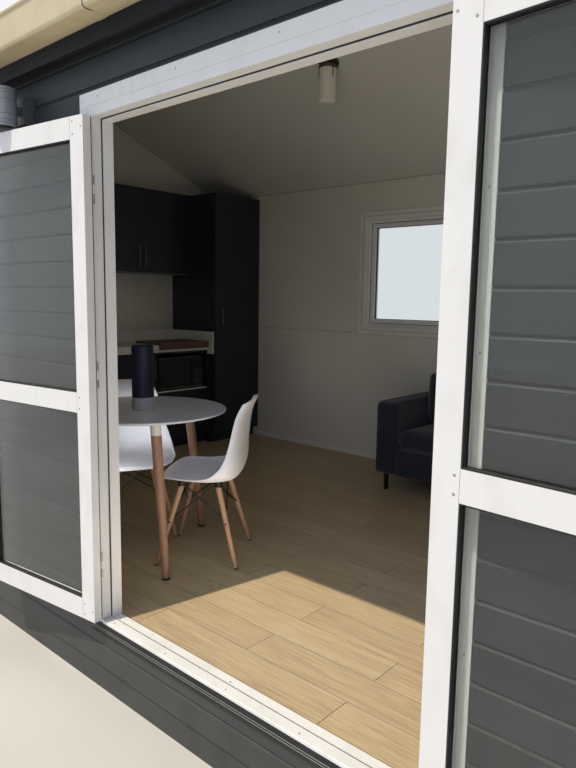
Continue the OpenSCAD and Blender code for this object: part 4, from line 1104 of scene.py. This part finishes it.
def piped(low, high, radius, inset):
    """Piping: a tube round the rounded outline of a block's two side panels, at an inset from each."""
    low, high = np.asarray(low, float), np.asarray(high, float)
    half, centre = (high - low) / 2, (high + low) / 2
    turn = np.linspace(0, 2 * np.pi, 96, endpoint=False)
    way = np.column_stack([np.cos(turn), np.sin(turn)])
    outline = np.sign(way) * (half[1:] - radius) + way * (radius + 0.4 * MM)
    along = np.roll(outline, -1, 0) - np.roll(outline, 1, 0)
    out = np.column_stack([along[:, 1], -along[:, 0]]) / np.linalg.norm(along, axis=1, keepdims=True)
    phi = np.linspace(0, 2 * np.pi, 8, endpoint=False)
    forms = []
    for side in (-1, 1):
        p = np.zeros((len(turn), len(phi), 3))
        p[..., 1:] = outline[:, None] + out[:, None] * (ROPE * np.cos(phi))[None, :, None] + centre[1:]
        p[..., 0] = centre[0] + side * (half[0] - inset) + ROPE * np.sin(phi)
        forms.append((p.reshape(-1, 3), [grid_faces(len(turn), len(phi), wrap=True, loop=True)]))
    return gather(forms)


def settle(piece):
    """Applies a piece's modifiers: the evaluated mesh takes the place of its own."""
    seen = piece.evaluated_get(bpy.context.evaluated_depsgraph_get())
    mesh = bpy.data.meshes.new_from_object(seen)
    piece.modifiers.clear()
    old, piece.data = piece.data, mesh
    bpy.data.meshes.remove(old)


def stuff(piece):
    """Blows a closed form up as cloth: an even mesh, pressure inside, no gravity, travel capped."""
    even = piece.modifiers.new("even_mesh", "REMESH")
    even.mode, even.voxel_size, even.use_smooth_shade = "VOXEL", VOXEL, True
    settle(piece)
    start = np.empty(len(piece.data.vertices) * 3)
    piece.data.vertices.foreach_get("co", start)
    cloth = piece.modifiers.new("stuffing", "CLOTH")
    for key, value in CLOTH.items():
        setattr(cloth.settings, key, value)
    cloth.settings.effector_weights.gravity = 0
    for step in range(1, CLOTH_STEPS + 1):
        bpy.context.scene.frame_set(step)
    seen = piece.evaluated_get(bpy.context.evaluated_depsgraph_get())
    moved = np.empty_like(start)
    seen.data.vertices.foreach_get("co", moved)
    shift = (moved - start).reshape(-1, 3)
    travel = np.linalg.norm(shift, axis=1, keepdims=True)
    shift *= np.minimum(1, TRAVEL / np.maximum(travel, 1e-9))
    piece.modifiers.clear()
    piece.data.vertices.foreach_set("co", (start.reshape(-1, 3) + shift).ravel())
    bpy.context.scene.frame_set(1)
    return float(travel.max())


print("padding helpers ready")

# %% [markdown]
# The sofa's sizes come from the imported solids: the frame's box gives its length, depth and height, and
# the arms are 150 mm wide. The cloth hangs 28 mm past the frame, over short dark feet.

# %% Sofa arms, back and deck
sofa_lo, sofa_hi = np.array(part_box("sofa_base"))
ARM_W, ARM_H, LEG_H, BACK_D, HEM, FOOT_IN = 150 * MM, 465 * MM, 150 * MM, 180 * MM, 28 * MM, 60 * MM
WELD_MM, ARM_R, BACK_R = 0.05, 34 * MM, 38 * MM
sofa_z = sofa_lo[2] + LEG_H
x_ends = (sofa_lo[0], sofa_hi[0] - ARM_W)
arm_boxes = [((x, sofa_lo[1], sofa_z - HEM), (x + ARM_W, sofa_hi[1], sofa_z + ARM_H)) for x in x_ends]
arms = put("sofa_arms", gather([padded_block(*box, ARM_R, 5 * MM) for box in arm_boxes]), navy_weave,
           "navy_upholstery", smooth=True)
back_box = ((x_ends[0] + ARM_W, sofa_hi[1] - BACK_D, sofa_z), (x_ends[1], sofa_hi[1], sofa_hi[2]))
deck_box = ((x_ends[0] + ARM_W, sofa_lo[1] + 14 * MM, sofa_z - HEM),
            (x_ends[1], sofa_hi[1] - BACK_D + 10 * MM, sofa_z + 150 * MM))
back_form = gather([padded_block(*back_box, BACK_R, 6 * MM, 30),
                    padded_block(*deck_box, 12 * MM, 3 * MM, 24)])
back_and_deck = put("sofa_back_and_deck", back_form, navy_weave, "navy_upholstery", smooth=True)
for piece in (arms, back_and_deck):
    turn_out(piece.data, WELD_MM)
rope = gather([piped(*box, ARM_R, 14 * MM) for box in arm_boxes] + [piped(*back_box, BACK_R, 3 * MM)])
put("sofa_piping", rope, piping_cloth, "navy_upholstery", smooth=True)
feet = gather([turned([[13, 0], [14, 3], [21, 150], [22, 156]], (x, y, sofa_lo[2]), 24)
               for x in (sofa_lo[0] + FOOT_IN, sofa_hi[0] - FOOT_IN)
               for y in (sofa_lo[1] + FOOT_IN, sofa_hi[1] - FOOT_IN)])
put("sofa_feet", feet, wire_coat, "black_wire", smooth=True)
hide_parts("sofa_base")
print("sofa is", [round(float(v), 3) for v in sofa_hi - sofa_lo], "m")

# %% [markdown]
# Two seat cushions and two back cushions lie side by side with a 6 mm gap. Each starts a little
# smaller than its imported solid, because it swells.

# %% Sofa cushions
cush_lo, cush_hi = np.array(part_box("sofa_cushions"))
CUSH_BACK, CUSH_GAP, START_IN = 150 * MM, 6 * MM, 9 * MM * 0.8
cush_w = (cush_hi[0] - cush_lo[0] + CUSH_GAP) / 2
seat_top = cush_lo[2] + 135 * MM
swell = []
for i in range(2):
    x0 = cush_lo[0] + i * cush_w
    x1 = x0 + cush_w - CUSH_GAP
    seat = ((x0, cush_lo[1], cush_lo[2]), (x1, cush_hi[1], seat_top))
    rest = ((x0, cush_hi[1] - CUSH_BACK, seat_top), (x1, cush_hi[1], cush_hi[2]))
    for kind, box, crown in (("seat", seat, 9 * MM), ("back", rest, 14 * MM)):
        low, high = np.array(box)
        form = padded_block(low + START_IN, high - START_IN, 36 * MM, crown, 24)
        cushion = put(f"sofa_{kind}_cushion_{i + 1}", form, navy_weave, "navy_upholstery", smooth=True)
        turn_out(cushion.data, WELD_MM)
        swell.append(stuff(cushion))
        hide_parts("sofa_cushions")
print("cushions swell by up to", [round(s / MM, 1) for s in swell], "mm before the cap")

# %% [markdown]
# The studio has a plain pale floor, one warm key lamp from the front and a pale even background. The
# lamp's direction was measured from the edge of the light patch inside the doorway. A soft panel just
# inside the doorway and one at the floor light the room evenly, and a small one lights the left chair.

# %% Stage, light and the last lines
SUN_WAY, REACH = (0.088, 0.474, -1.0), 14.0
ground = bpy.data.meshes.new("ground")
ground.from_pydata([(x * REACH, y * REACH, 0) for x, y in ((-1, -1), (1, -1), (1, 1), (-1, 1))], [],
                   [(0, 1, 2, 3)])
stage = placed("ground", ground)
stage_mat, shader, tree = finish("studio_floor", "#c9c6bf", 0.9)
dress(shader, between(tree, cloud(tree, 700), "#c9c6bf", "#c4c1ba"))
ground.materials.append(stage_mat)

sun = bpy.data.lights.new("key_sun", "SUN")
sun.energy, sun.angle, sun.color = 2.95, math.radians(0.7), (1.0, 0.895, 0.71)
door_mid, door_w = (DOOR_X0 + DOOR_X1) / 2, DOOR_X1 - DOOR_X0 - 0.4
# Each panel has its size, watts, tint, spread in degrees, place and the way that it faces.
PANELS = {"soft_doorway": ((door_w, 1.7), 3.4, (0.68, 0.83, 1.0), 180,
                           (door_mid, -IN_Y + 0.02, FLOOR_Z + 1.1), (0, 1, 0)),
          "floor_bounce": ((door_w, 0.8), 7.0, (1.0, 0.91, 0.78), 180,
                           (door_mid, -IN_Y + 0.45, FLOOR_Z + 0.01), (0, 0.02, 1)),
          "left_chair_fill": ((0.3, 0.3), 1.15, (0.93, 0.96, 1.0), 70,
                              (-0.78, -IN_Y + 0.03, FLOOR_Z + 0.52), (-0.36, 0.62, 0.03))}
lamps = [(sun, (0, 0, 4), SUN_WAY)]
for name, ((width, height), watts, tint, spread, place, towards) in PANELS.items():
    panel = bpy.data.lights.new(name, "AREA")
    panel.shape, panel.size, panel.size_y = "RECTANGLE", width, height
    panel.energy, panel.color, panel.spread = watts, tint, math.radians(spread)
    lamps.append((panel, place, towards))
for lamp, place, towards in lamps:
    lamp_object = placed(lamp.name, lamp)
    lamp_object.location = place
    lamp_object.rotation_euler = Vector(towards).to_track_quat("-Z", "Y").to_euler()
    lamp_object.visible_camera = lamp_object.visible_transmission = False

world = bpy.data.worlds.new("studio")
world.use_nodes = True
bpy.context.scene.world = world
air = world.node_tree
sky = air.nodes["Background"]
sky.inputs["Color"].default_value = linear("#d3e0fb")
sky.inputs["Strength"].default_value = 0.9
paper = add(air, "Background", {"Color": linear("#f6f7f8"), "Strength": 1.0})
rays = add(air, "LightPath", out="Is Camera Ray")
for way in ("Is Glossy Ray", "Is Transmission Ray"):
    rays = calc(air, "MAXIMUM", rays, add(air, "LightPath", out=way))
seen = add(air, "MixShader", {0: rays, 1: sky.outputs[0], 2: paper})
air.links.new(seen, air.nodes["World Output"].inputs["Surface"])
bpy.context.scene.view_settings.view_transform = "Standard"
